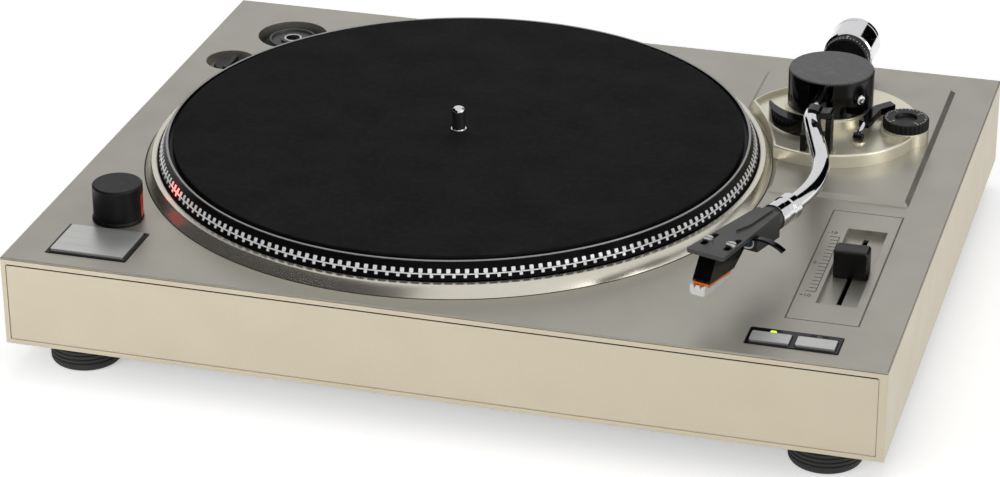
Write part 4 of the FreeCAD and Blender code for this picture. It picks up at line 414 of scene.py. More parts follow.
class TurnedRings(Effect):
    """The fine rings that a lathe leaves round an axis."""

    name = "turned rings"
    takes = {"Scale": 2500.0, "Centre": (0.0, 0.0, 0.0), "Axis": (0.0, 0.0, 1.0)}
    gives = ("Height", "Tone")
    tone_range = (0.3, 0.7)

    @classmethod
    def build(cls, graph: Graph, given: Lookup) -> dict[str, Socket]:
        """Read noise by the distance from the axis and the place along it.

        Args:
            graph: The group's tree.
            given: Looks up an input by its name.

        Returns:
            The socket of each output.
        """
        away = graph.vector("SUBTRACT", graph.place(), given("Centre"))["Vector"]
        side = graph.vector("CROSS_PRODUCT", away, given("Axis"))["Vector"]
        radius = graph.vector("LENGTH", side)["Value"]
        along = graph.vector("DOT_PRODUCT", away, given("Axis"))["Value"]
        rings = graph.noise(graph.math("ADD", radius, along), given("Scale"), 3.0, "1D")
        return {"Height": rings, "Tone": graph.remap(rings, *cls.tone_range)}


class MetalFlakes(Effect):
    """The sparkle of flakes in metallic lacquer."""

    name = "metal flakes"
    takes = {"Scale": 4500.0}
    gives = ("Height", "Tone")
    cloud_scale = 14.0
    flake_share = 0.45
    cloud_share = 0.55

    @classmethod
    def build(cls, graph: Graph, given: Lookup) -> dict[str, Socket]:
        """Give each small cell its own brightness, over slow clouds in the spray.

        Args:
            graph: The group's tree.
            given: Looks up an input by its name.

        Returns:
            The socket of each output.
        """
        cells = graph.node("ShaderNodeTexVoronoi")
        graph.plug(cells.inputs["Vector"], graph.place())
        graph.plug(cells.inputs["Scale"], given("Scale"))
        split = graph.node("ShaderNodeSeparateColor")
        graph.plug(split.inputs[0], cells.outputs["Color"])
        clouds = graph.noise(graph.place(), cls.cloud_scale, 3.0)
        flakes = graph.math("MULTIPLY", split.outputs[0], cls.flake_share)
        tone = graph.math("ADD", flakes, graph.math("MULTIPLY", clouds, cls.cloud_share))
        return {"Height": split.outputs[1], "Tone": tone}


class HandlingMarks(Effect):
    """Soft smears that change how glossy a surface is."""

    name = "handling marks"
    takes = {"Scale": 40.0}
    gives = ("Tone",)
    cloud_range = (0.35, 0.68)

    @classmethod
    def build(cls, graph: Graph, given: Lookup) -> dict[str, Socket]:
        """Stretch a cloudy noise to a range of one, half of it below zero."""
        clouds = graph.noise(graph.place(), given("Scale"), 5.0)
        return {"Tone": graph.remap(clouds, *cls.cloud_range, -0.5, 0.5)}


class SettledDust(Effect):
    """Fine dust on faces that look up."""

    name = "settled dust"
    takes = {"Amount": 0.1, "Scale": 260.0}
    gives = ("Mask",)
    up_range = (0.4, 0.95)
    speck_range = (0.5, 0.78)

    @classmethod
    def build(cls, graph: Graph, given: Lookup) -> dict[str, Socket]:
        """Keep specks and clouds where the surface faces up.

        Args:
            graph: The group's tree.
            given: Looks up an input by its name.

        Returns:
            The socket of each output.
        """
        facing = graph.along("Z", graph.node("ShaderNodeNewGeometry").outputs["Normal"])
        up = graph.remap(facing, *cls.up_range)
        specks = graph.remap(graph.noise(graph.place(), given("Scale"), 6.0), *cls.speck_range)
        settled = graph.math("MULTIPLY", up, specks)
        return {"Mask": graph.math("MULTIPLY", settled, given("Amount"), clamp=True)}


class Texture(Enum):
    """What the fine surface of a finish is like."""

    GRAIN = FineGrain
    BRUSHED = BrushedLines
    TURNED = TurnedRings
    FLAKES = MetalFlakes


@dataclass(frozen=True)
class Finish:
    """One surface finish: a colour with its fine texture, smears, rubbed edges and dust, the edges in some
    finishes also a painted highlight.
    """

    name: str
    colour: Colour
    roughness: float = 0.5
    metallic: float = 0.0
    texture: Texture = Texture.GRAIN
    scale: float = 1500.0
    tone: float = 0.12
    bump: float = 0.15
    depth: float = 0.00003
    smear: float = 0.08
    worn: Colour | None = None
    wear: float = 0.5
    edge: float = 0.0004
    dust: float = 0.0
    dust_colour: Colour = paint(200, 196, 186)
    specular: float = 0.5
    centre: Place = (0.0, 0.0, 0.0)

    def pattern(self, graph: Graph) -> Outputs:
        """Place the fine texture.

        Args:
            graph: The material's tree.

        Returns:
            The outputs of its node group, Height and Tone among them.
        """
        values = {"Scale": self.scale}
        if self.texture is Texture.TURNED:
            values["Centre"] = self.centre
        return self.texture.value.on(graph, **values)

    def body_colour(self, graph: Graph, tone: Socket) -> Socket:
        """The colour before wear and dust: a little darker and lighter with the texture."""
        return graph.blend(tone, toned(self.colour, 1 - self.tone), toned(self.colour, 1 + self.tone))

    def extra(self, graph: Graph, shader: bpy.types.Node) -> None:
        """Set what only this finish has."""

    def material(self) -> bpy.types.Material:
        """Find or make the finish's material.

        Returns:
            The material, built when it is first asked for.
        """
        found = bpy.data.materials.get(self.name)
        if found:
            return found
        made = bpy.data.materials.new(self.name)
        graph = Graph.fresh(made)
        shader = graph.node("ShaderNodeBsdfPrincipled")
        output = graph.node("ShaderNodeOutputMaterial")
        graph.plug(output.inputs["Surface"], shader.outputs[0])
        pattern = self.pattern(graph)
        edges = EdgeWear.on(graph, Radius=self.edge, Amount=self.wear)
        colour = self.body_colour(graph, pattern["Tone"])
        # A pale edge colour is wear, and in polished_black and cap_black it is also a painted highlight
        # along the edges.
        if self.worn:
            colour = graph.blend(edges["Mask"], colour, self.worn)
        if self.dust:
            dust = SettledDust.on(graph, Amount=self.dust)
            colour = graph.blend(dust["Mask"], colour, self.dust_colour)
        graph.plug(shader.inputs["Base Color"], colour)
        smears = graph.math("MULTIPLY", HandlingMarks.on(graph)["Tone"], self.smear)
        graph.plug(shader.inputs["Roughness"], graph.math("ADD", smears, self.roughness))
        shader.inputs["Metallic"].default_value = self.metallic
        shader.inputs["Specular IOR Level"].default_value = self.specular
        relief = graph.node("ShaderNodeBump")
        relief.inputs["Strength"].default_value = self.bump
        relief.inputs["Distance"].default_value = self.depth
        graph.plug(relief.inputs["Height"], pattern["Height"])
        graph.plug(relief.inputs["Normal"], edges["Normal"])
        graph.plug(shader.inputs["Normal"], relief.outputs[0])
        self.extra(graph, shader)
        return made


@dataclass(frozen=True)
class ClearPlastic(Finish):
    """Milky plastic that lets light through."""

    clear: float = 0.5
    bending: float = 1.46

    def extra(self, graph: Graph, shader: bpy.types.Node) -> None:
        """Let some of the light pass."""
        shader.inputs["Transmission Weight"].default_value = self.clear
        shader.inputs["IOR"].default_value = self.bending


@dataclass(frozen=True)
class Glow(Finish):
    """Plastic lit from behind, brightest in cloudy patches."""

    light: Colour = (1.0, 0.1, 0.05)
    strength: float = 1.0
    dimming: float = 0.65
    patch_scale: float = 180.0

    def extra(self, graph: Graph, shader: bpy.types.Node) -> None:
        """Add the light.

        Args:
            graph: The material's tree.
            shader: Its surface shader.
        """
        glow = graph.blend(graph.clouds(self.patch_scale), toned(self.light, self.dimming), self.light)
        graph.plug(shader.inputs["Emission Color"], glow)
        shader.inputs["Emission Strength"].default_value = self.strength


@dataclass(frozen=True)
class LampPair(Finish):
    """Two small lamps in a row along X, of which one is lit."""

    light: Colour = (0.7, 1.0, 0.05)
    split: float = 0.0
    strength: float = 1.0

    def extra(self, graph: Graph, shader: bpy.types.Node) -> None:
        """Light the one that lies left of the split.

        Args:
            graph: The material's tree.
            shader: Its surface shader.
        """
        lit = graph.math("LESS_THAN", graph.along("X"), self.split)
        graph.plug(shader.inputs["Emission Color"], graph.blend(lit, (0.0, 0.0, 0.0), self.light))
        shader.inputs["Emission Strength"].default_value = self.strength


@dataclass(frozen=True)
class CircuitBoard(Finish):
    """Green lacquer over copper tracks, with bare solder pads."""

    track: Colour = (0.03, 0.16, 0.05)
    solder: Colour = (0.45, 0.45, 0.42)
    cell_scale: float = 190.0
    track_range: Point = (0.42, 0.48)
    pad_range: Point = (0.16, 0.12)

    def body_colour(self, graph: Graph, tone: Socket) -> Socket:
        """Draw the tracks as cell borders and the pads as dots.

        Args:
            graph: The material's tree.
            tone: The fine texture's tone.

        Returns:
            The colour's socket.
        """
        cells = graph.node("ShaderNodeTexVoronoi", distance="MANHATTAN", feature="F1")
        graph.plug(cells.inputs["Vector"], graph.place())
        cells.inputs["Scale"].default_value = self.cell_scale
        track = graph.remap(cells.outputs["Distance"], *self.track_range)
        pad = graph.remap(cells.outputs["Distance"], *self.pad_range)
        lacquer = graph.blend(track, self.colour, self.track)
        return graph.blend(graph.math("MULTIPLY", pad, tone), lacquer, self.solder)


@dataclass(frozen=True)
class Laminations(Finish):
    """A stack of thin steel sheets seen from the side, dark between the sheets."""

    pitch: float = 0.0007
    gap_share: float = 0.35

    def body_colour(self, graph: Graph, tone: Socket) -> Socket:
        """Draw the sheets along Y.

        Args:
            graph: The material's tree.
            tone: The fine texture's tone.

        Returns:
            The colour's socket.
        """
        wave = graph.math("SINE", graph.math("MULTIPLY", graph.along("Y"), TURN / self.pitch))
        shade = graph.math("MULTIPLY", graph.remap(wave, -1.0, 0.6), tone)
        return graph.blend(shade, toned(self.colour, self.gap_share), self.colour)


# The platter's middle, in metres, which its turned faces go round.
SPINDLE = (-0.038, 0.0008, 0.0)
CHAMPAGNE = paint(206, 196, 174)
DECK_PAINT = Finish("deck_lacquer", paint(180, 177, 167), roughness=0.4, metallic=0.82,
                    texture=Texture.FLAKES, scale=2600.0, tone=0.07, bump=0.05,
                    worn=paint(222, 216, 200), wear=0.35, dust=0.06, smear=0.1)
CASE_PAINT = Finish("case_lacquer", CHAMPAGNE, roughness=0.42, metallic=0.6, texture=Texture.FLAKES,
                    scale=2600.0, tone=0.05, bump=0.05, worn=paint(232, 226, 208), wear=0.3)
TRAY_PAINT = Finish("tray_lacquer", paint(238, 233, 213), roughness=0.3, metallic=0.7,
                    texture=Texture.FLAKES, scale=2600.0, tone=0.04, bump=0.02,
                    worn=paint(236, 232, 216), wear=0.4, dust=0.05)
BLACK_MATTE = Finish("moulded_black", paint(12, 12, 13), roughness=0.4, scale=1900.0, tone=0.25,
                     bump=0.25, worn=grey(60), wear=0.4, dust=0.03, specular=0.26)
# Its paler edge colour is partly wear and partly a painted highlight along the edges.
BLACK_GLOSS = Finish("polished_black", paint(9, 8, 9), roughness=0.12, scale=1400.0, tone=0.2,
                     bump=0.04, worn=paint(46, 46, 48), wear=0.3, smear=0.06, specular=0.28)
GREY_MATTE = Finish("cap_grey", paint(62, 61, 62), roughness=0.3, scale=2600.0, tone=0.1, bump=0.03,
                    worn=grey(110), dust=0.08)
FOOT_RUBBER = Finish("foot_rubber", paint(16, 15, 14), roughness=0.72, scale=900.0, tone=0.25,
                     bump=0.4, worn=paint(84, 80, 76), dust=0.15)
MAT_RUBBER = Finish("mat_felt_rubber", grey(10), roughness=0.8, scale=1700.0, tone=0.4, bump=0.8,
                    depth=0.00008, worn=grey(44), dust=0.01, specular=0.16)
BELT_RUBBER = Finish("belt_rubber", paint(26, 26, 27), roughness=0.62, scale=1300.0, tone=0.2,
                     bump=0.3, worn=grey(60))
CHROME = Finish("chrome_plate", paint(226, 226, 228), roughness=0.07, metallic=1.0, scale=500.0,
                tone=0.03, bump=0.01, worn=grey(240), wear=0.2, smear=0.05)
STEEL = Finish("bright_steel", grey(190), roughness=0.28, metallic=1.0, texture=Texture.BRUSHED,
               tone=0.08, bump=0.08, worn=grey(220), wear=0.4)
BRONZE = Finish("sleeve_bronze", paint(176, 132, 74), roughness=0.34, metallic=1.0,
                texture=Texture.TURNED, scale=2600.0, bump=0.1, centre=SPINDLE)
CAST_METAL = Finish("platter_casting", paint(9, 9, 10), roughness=0.3, texture=Texture.TURNED,
                    scale=1800.0, tone=0.18, bump=0.03, worn=grey(96), wear=0.2, centre=SPINDLE,
                    smear=0.04, specular=0.07)
SILVER_BUTTON = Finish("brushed_silver", paint(204, 204, 202), roughness=0.32, metallic=0.7,
                       texture=Texture.BRUSHED, scale=1400.0, tone=0.1, worn=grey(226), wear=0.6)
ADAPTOR_BLACK = Finish("adaptor_black", paint(20, 20, 21), roughness=0.16, metallic=0.1,
                       texture=Texture.TURNED, scale=2200.0, tone=0.25, bump=0.08, worn=grey(96),
                       wear=0.4, centre=(-0.1787, 0.1335, 0.0))
HEAD_METAL = Finish("head_anodised", paint(60, 61, 59), roughness=0.4, metallic=0.35, scale=2300.0,
                    worn=paint(140, 140, 138))
ORANGE = Finish("stylus_orange", paint(240, 122, 36), roughness=0.35, scale=1800.0, tone=0.1, bump=0.1,
                worn=paint(250, 170, 110), wear=0.3)
GUARD = ClearPlastic("milky_guard", paint(232, 232, 228), roughness=0.26, tone=0.04, bump=0.08,
                     worn=grey(250), wear=0.6, clear=0.2)
RED_LENS = Glow("red_lens", paint(226, 52, 38), roughness=0.22, scale=1300.0, tone=0.1, bump=0.05,
                light=paint(255, 56, 36), strength=2.2)
LAMPS = LampPair("lamp_pair", paint(74, 84, 62), roughness=0.25, scale=1600.0, tone=0.1, bump=0.1,
                 light=paint(206, 246, 40), split=0.17, strength=1.3)
BOARD = CircuitBoard("circuit_board", paint(26, 84, 44), roughness=0.36, scale=1200.0, tone=0.2,
                     bump=0.1)
CORE_STEEL = Laminations("core_laminations", paint(122, 120, 116), roughness=0.42, metallic=0.8,
                         tone=0.1, bump=0.1)
DARK_INK = Finish("dark_ink", paint(62, 59, 52), roughness=0.6, scale=5000.0, tone=0.3, bump=0.05,
                  wear=0.0)
WHITE_INK = Finish("white_ink", paint(232, 232, 228), roughness=0.55, scale=5000.0, bump=0.05,
                   wear=0.0)
TOOTH_SILVER = Finish("dot_silver", grey(250), roughness=0.3, metallic=0.45, scale=2600.0, tone=0.1,
                      bump=0.1, worn=grey(235), wear=0.4)
COLLAR_METAL = Finish("collar_lacquer", paint(224, 219, 205), roughness=0.24, metallic=0.9,
                      texture=Texture.FLAKES, scale=2600.0, tone=0.04, bump=0.02,
                      worn=paint(228, 224, 208), wear=0.15, smear=0.04)
LIP_METAL = Finish("lip_metal", grey(150), roughness=0.22, metallic=0.9, texture=Texture.TURNED,
                   scale=2200.0, tone=0.1, bump=0.05, centre=SPINDLE)
FLAG_CLOTH = Finish("flag_cloth", grey(10), roughness=0.95, specular=0.0)
SOCKET_RED = Finish("socket_ring_red", paint(190, 32, 28), roughness=0.4, scale=2000.0, bump=0.1)
SOCKET_WHITE = Finish("socket_ring_white", paint(226, 226, 222), roughness=0.4, scale=2000.0,
                      tone=0.06, bump=0.1)
# Painted shade for the groove round the pitch panel.
PANEL_GROOVE_SHADE = Finish("panel_line", paint(104, 99, 88), roughness=0.6, scale=5000.0, tone=0.2, bump=0.05,
                   wear=0.0)
# A dark finish for painted shade and shadow: the front seam, the collar's foot and the headshell's slots.
SHADE_BLACK = Finish("painted_shade_black", paint(14, 12, 9), roughness=0.7, scale=3000.0, tone=0.2, bump=0.05,
                    wear=0.0, specular=0.2)
# The cap's pale edge colour, laid on strongly over the edge mask, is a painted highlight along its edges.
CAP_BLACK = Finish("cap_black", grey(9), roughness=0.3, scale=1900.0, tone=0.2, bump=0.06,
                   worn=grey(150), wear=0.7, dust=0.02, specular=0.3)
LEAD_PLASTICS = tuple(
    Finish("lead_" + name, colour, roughness=0.4, scale=2500.0, tone=0.1, bump=0.1, wear=0.0)
    for name, colour in (("white", paint(226, 226, 220)), ("blue", paint(40, 84, 190)),
                         ("green", paint(24, 150, 92)), ("red", paint(196, 44, 38))))

NODE_FINISHES: dict[Finish, tuple[str, ...]] = {
    DECK_PAINT: ("top_plate",),
    CASE_PAINT: ("plinth_frame", "front_panel"),
    TRAY_PAINT: ("arm_base", "turret_seat"),
    BLACK_MATTE: ("bottom_cover", "strobe_tower", "power_knob", "power_switch", "start_bezel",
                  "pitch_fader", "jack_panel", "power_inlet", "antiskate_dial", "force_dial",
                  "arm_rest"),
    BLACK_GLOSS: ("speed_bezel", "pitch_cap", "arm_turret", "cartridge", "finger_lift", "rest_clip",
                  "cue_lift", "cue_lever"),
    GREY_MATTE: ("turret_cap",),
    FOOT_RUBBER: ("foot_front_left", "foot_front_right", "foot_rear_left", "foot_rear_right"),
    MAT_RUBBER: ("platter_mat",),
    BELT_RUBBER: ("drive_belt",),
    CHROME: ("spindle", "pivot_screws", "arm_tube", "weight_shaft", "counterweight", "locking_collar"),
    STEEL: ("case_screws", "bearing_housing", "motor", "rear_terminals", "arm_pillar", "bearing_block",
            "cartridge_screws"),
    BRONZE: ("bearing_sleeve", "motor_pulley"),
    CAST_METAL: ("platter",),
    SILVER_BUTTON: ("start_button", "speed_button_33", "speed_button_45"),
    ADAPTOR_BLACK: ("record_adaptor",),
    HEAD_METAL: ("headshell",),
    ORANGE: ("stylus",),
    GUARD: ("stylus_guard",),
    RED_LENS: ("strobe_window",),
    LAMPS: ("speed_lamps",),
    BOARD: ("button_boards", "main_board"),
    CORE_STEEL: ("transformer",),
}

# Edges that turn by less than this many degrees are shaded smooth.
SMOOTH_BELOW = 32.0
# A rod this nearly upright takes its sides from X, not from Z.
UPRIGHT = 0.95
# A corner no farther than this from the middle isn't drawn in.
NEAREST = 1e-6


class Shape:
    """A mesh put together from turned, swept and extruded forms, in millimetres."""

    def __init__(self) -> None:
        """Start empty."""
        self.mesh = bmesh.new()

    def skin(self, rows: Sequence[Sequence[Vector]], closed: bool, ends: bool) -> None:
        """Join rows of points by faces.

        Args:
            rows: The rows, all of the same length.
            closed: Whether the last row joins the first.
            ends: Whether the first and last rows are filled in.
        """
        made = [[self.mesh.verts.new(point) for point in row] for row in rows]
        pairs = list(zip(made, made[1:] + made[:1])) if closed else list(zip(made, made[1:]))
        for row, following in pairs:
            count = len(row)
            for i in range(count):
                j = (i + 1) % count
                self.mesh.faces.new((row[i], row[j], following[j], following[i]))
        if ends:
            self.mesh.faces.new(made[0])
            self.mesh.faces.new(reversed(made[-1]))

    def turned(self, profile: Sequence[Point], steps: int = 96, place: Matrix | None = None,
               start: float = 0.0, end: float = 360.0) -> Shape:
        """Turn a closed profile of radius and height round Z.

        Args:
            profile: Its corners, as radius and height.
            steps: How many steps the turn has.
            place: Where the form is put.
            start: The first angle, in degrees.
            end: The last angle.

        Returns:
            The shape itself.
        """
        place = place or Matrix()
        whole = end - start >= 360
        rows = []
        for i in range(steps if whole else steps + 1):
            angle = math.radians(start + (end - start) * i / steps)
            across, along = math.cos(angle), math.sin(angle)
            rows.append([place @ Vector((r * across, r * along, z)) for r, z in profile])
        self.skin(rows, whole, not whole)
        return self

    def block(self, outline: Sequence[Point], low: float, high: float, place: Matrix | None = None,
              slope: float = 0.0) -> Shape:
        """Raise an outline to a block whose top may be drawn in.

        Args:
            outline: Its corners, counter-clockwise.
            low: The bottom's height.
            high: The top's height.
            place: Where it is put.
            slope: How far the top corners are drawn towards the middle.

        Returns:
            The shape itself.
        """
        place = place or Matrix()
        count = len(outline)
        middle = Vector((sum(x for x, _ in outline) / count, sum(y for _, y in outline) / count))
        rows = []
        levels = ((low, 0.0), (high - slope, 0.0), (high, slope)) if slope else ((low, 0.0), (high, 0.0))
        for level, inset in levels:
            row = []
            for x, y in outline:
                away = Vector((x, y)) - middle
                drawn = middle + away * max(0.0, 1 - inset / max(away.length, NEAREST))
                row.append(place @ Vector((drawn.x, drawn.y, level)))
            rows.append(row)
        self.skin(rows, False, True)
        return self

    def rod(self, path: Sequence[Vector], radius: float, steps: int = 12,
            place: Matrix | None = None) -> Shape:
        """Sweep a circle along a path.

        Args:
            path: The points of its middle line.
            radius: The circle's radius.
            steps: How many corners the circle has.
            place: Where it is put.

        Returns:
            The shape itself.
        """
        place = place or Matrix()
        rows = []
        for i, point in enumerate(path):
            ahead = (path[min(i + 1, len(path) - 1)] - path[max(i - 1, 0)]).normalized()
            side = Vector((0.0, 0.0, 1.0)) if abs(ahead.z) < UPRIGHT else Vector((1.0, 0.0, 0.0))
            across = ahead.cross(side).normalized()
            up = across.cross(ahead)
            row = []
            for k in range(steps):
                angle = TURN * k / steps
                row.append(place @ (point + radius * (math.cos(angle) * across + math.sin(angle) * up)))
            rows.append(row)
        self.skin(rows, False, True)
        return self

    def words(self, text: str, size: float, height: float, place: Matrix) -> Shape:
        """Write plain figures, centred on the place's own origin and raised a little.

        Args:
            text: The figures.
            size: Their height.
            height: How far they are raised.
            place: Where they are put.

        Returns:
            The shape itself.
        """
        curve = bpy.data.curves.new("figures", "FONT")
        curve.body = text
        curve.size = size
        curve.extrude = height / 2
        curve.resolution_u = 3
        curve.align_x = "CENTER"
        curve.align_y = "CENTER"
        holder = bpy.data.objects.new("figures", curve)
        flat = bpy.data.meshes.new_from_object(holder)
        flat.transform(place)
        self.mesh.from_mesh(flat)
        bpy.data.objects.remove(holder)
        bpy.data.curves.remove(curve)
        bpy.data.meshes.remove(flat)
        return self

    def pour_into(self, other: Shape) -> None:
        """Move this shape's mesh into another shape.

        Args:
            other: The shape that takes it.
        """
        holder = bpy.data.meshes.new("holder")
        self.mesh.to_mesh(holder)
        self.mesh.free()
        other.mesh.from_mesh(holder)
        bpy.data.meshes.remove(holder)

    def build(self, name: str) -> bpy.types.Mesh:
        """Turn the shape into a mesh in metres.

        Args:
            name: The mesh's name.

        Returns:
            The mesh.
        """
        bmesh.ops.recalc_face_normals(self.mesh, faces=self.mesh.faces)
        for face in self.mesh.faces:
            face.smooth = True
        made = bpy.data.meshes.new(name)
        self.mesh.to_mesh(made)
        self.mesh.free()
        made.transform(Matrix.Scale(MM, 4))
        made.set_sharp_from_angle(angle=math.radians(SMOOTH_BELOW))
        return made


def box_outline(x: float, y: float, width: float, depth: float) -> list[Point]:
    """The corners of a rectangle round the middle X, Y."""
    return [(x + sx * width / 2, y + sy * depth / 2) for sx, sy in ((-1, -1), (1, -1), (1, 1), (-1, 1))]


def rounded_outline(x: float, y: float, width: float, depth: float, corner: float,
                    steps: int = 5) -> list[Point]:
    """The points of a rectangle with rounded corners.

    Args:
        x: The middle's X.
        y: The middle's Y.
        width: Its size along X.
        depth: Its size along Y.
        corner: The corners' radius.
        steps: How many steps each corner has.

    Returns:
        The points, counter-clockwise.
    """
    points = []
    for quarter, (sx, sy) in enumerate(((1, 1), (-1, 1), (-1, -1), (1, -1))):
        for i in range(steps + 1):
            angle = math.radians(90 * (quarter + i / steps))
            points.append((x + sx * (width / 2 - corner) + corner * math.cos(angle),
                           y + sy * (depth / 2 - corner) + corner * math.sin(angle)))
    return points


def moved(x: float, y: float, z: float) -> Matrix:
    """A move."""
    return Matrix.Translation((x, y, z))


def turn(angle: float, axis: str) -> Matrix:
    """A turn in degrees round X, Y or Z."""
    return Matrix.Rotation(math.radians(angle), 4, axis)


class Kit:
    """Puts pieces into the scene and says which finish each one has."""

    def __init__(self, frame: dict) -> None:
        """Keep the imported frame."""
        self.nodes = frame["nodes"]

    def dress(self, node: str, finish: Finish) -> None:
        """Give a CAD node its finish.

        Args:
            node: The node's name.
            finish: Its finish.
        """
        for slot in self.nodes[node].material_slots:
            slot.material = finish.material()
        LOG.info("%s: %s", node, finish.name)

    def add(self, name: str, shape: Shape, finish: Finish, body: str, slot: str,
            replaces: Iterable[str] = ()) -> None:
        """Add a piece that rides on a body.

        Args:
            name: The piece's name.
            shape: Its form, in millimetres.
            finish: Its finish.
            body: The body that it moves with.
            slot: The record's material slot that it belongs to; not used.
            replaces: CAD nodes that it stands for.
        """
        piece = bpy.data.objects.new(name, shape.build(name))
        piece.data.materials.append(finish.material())
        bpy.context.scene.collection.objects.link(piece)
        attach(piece, body)
        for node in replaces:
            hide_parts(node)
        LOG.info("%s: %s, on %s", name, finish.name, body)


# Places of the CAD, in millimetres: the deck's top, the arm's pivot above it, and the frames of the
# arm and of the headshell, which both reach forward along -Y.
DECK = 65.0
PIVOT = DECK + 22.2
ARM_FRAME = moved(144.3, 92.6, PIVOT) @ turn(-2.14, "X")
HEAD_FRAME = ARM_FRAME @ moved(5.81, -180.15, 0.0) @ turn(-17.5, "Z")
# How many steps a ring as large as the platter has.
RING_STEPS = 240


@dataclass(frozen=True)
class Pad:
    """A block with rounded corners, set in a face that it reaches below and above."""

    width: float
    depth: float
    corner: float
    sink: float
    rise: float
    slope: float = 0.0

    def put(self, shape: Shape, x: float, y: float, level: float, place: Matrix | None = None) -> None:
        """Add the block to a shape.

        Args:
            shape: The shape that takes it.
            x: Its middle's X.
            y: Its middle's Y.
            level: The face's height.
            place: The frame that these are in.
        """
        outline = rounded_outline(x, y, self.width, self.depth, self.corner)
        shape.block(outline, level - self.sink, level + self.rise, place, self.slope)


@dataclass
class Platter:
    """The platter's dots, bright line and lip, laid over its casting."""

    x: float = -38.0
    y: float = 0.8
    upper_dots: int = 216
    lower_dots: int = 180
    upper_width: float = 2.1
    lower_width: float = 1.7
    dot_corner: float = 0.35
    dot_sink: float = 0.1
    dot_rise: float = 0.3
    dot_slope: float = 0.12
    upper_band: tuple[Point, Point] = ((157.4, 9.5), (156.35, 11.5))
    lower_band: tuple[Point, Point] = ((158.55, 7.5), (157.95, 8.95))
    line: tuple[Point, ...] = ((157.5, 9.0), (158.15, 9.05), (157.9, 9.5), (157.3, 9.5))
    lip: tuple[Point, ...] = ((155.1, 14.85), (154.9, 15.14), (153.8, 15.14), (153.6, 14.85))

    def dots(self, count: int, width: float, band: tuple[Point, Point]) -> Shape:
        """Raise a row of teeth on a sloping band.

        Args:
            count: How many there are.
            width: Each one's width.
            band: The band's lower and upper end, as radius and height over the deck.

        Returns:
            The teeth.
        """
        (low_radius, low), (high_radius, high) = band
        length = math.hypot(high_radius - low_radius, high - low)
        lean = math.degrees(math.atan2(low_radius - high_radius, high - low))
        outline = rounded_outline(0.0, length / 2, width, length, self.dot_corner, 2)
        shape = Shape()
        for i in range(count):
            foot = moved(self.x, self.y, DECK) @ turn(360 * i / count, "Z") @ moved(low_radius, 0.0, low)
            place = foot @ turn(90, "Z") @ turn(90 - lean, "X")
            shape.block(outline, -self.dot_sink, self.dot_rise, place, self.dot_slope)
        return shape

    def build(self, kit: Kit) -> None:
        """Add the rows of dots, the line between them and the lip.

        Args:
            kit: What puts pieces into the scene.
        """
        centre = moved(self.x, self.y, DECK)
        pieces = (
            ("upper_dots", self.dots(self.upper_dots, self.upper_width, self.upper_band), TOOTH_SILVER),
            ("lower_dots", self.dots(self.lower_dots, self.lower_width, self.lower_band), TOOTH_SILVER),
            ("bright_line", Shape().turned(self.line, RING_STEPS, centre), TOOTH_SILVER),
            ("platter_lip", Shape().turned(self.lip, RING_STEPS, centre), LIP_METAL),
        )
        for name, shape, finish in pieces:
            kit.add(name, shape, finish, "platter_group", "cast_aluminium")


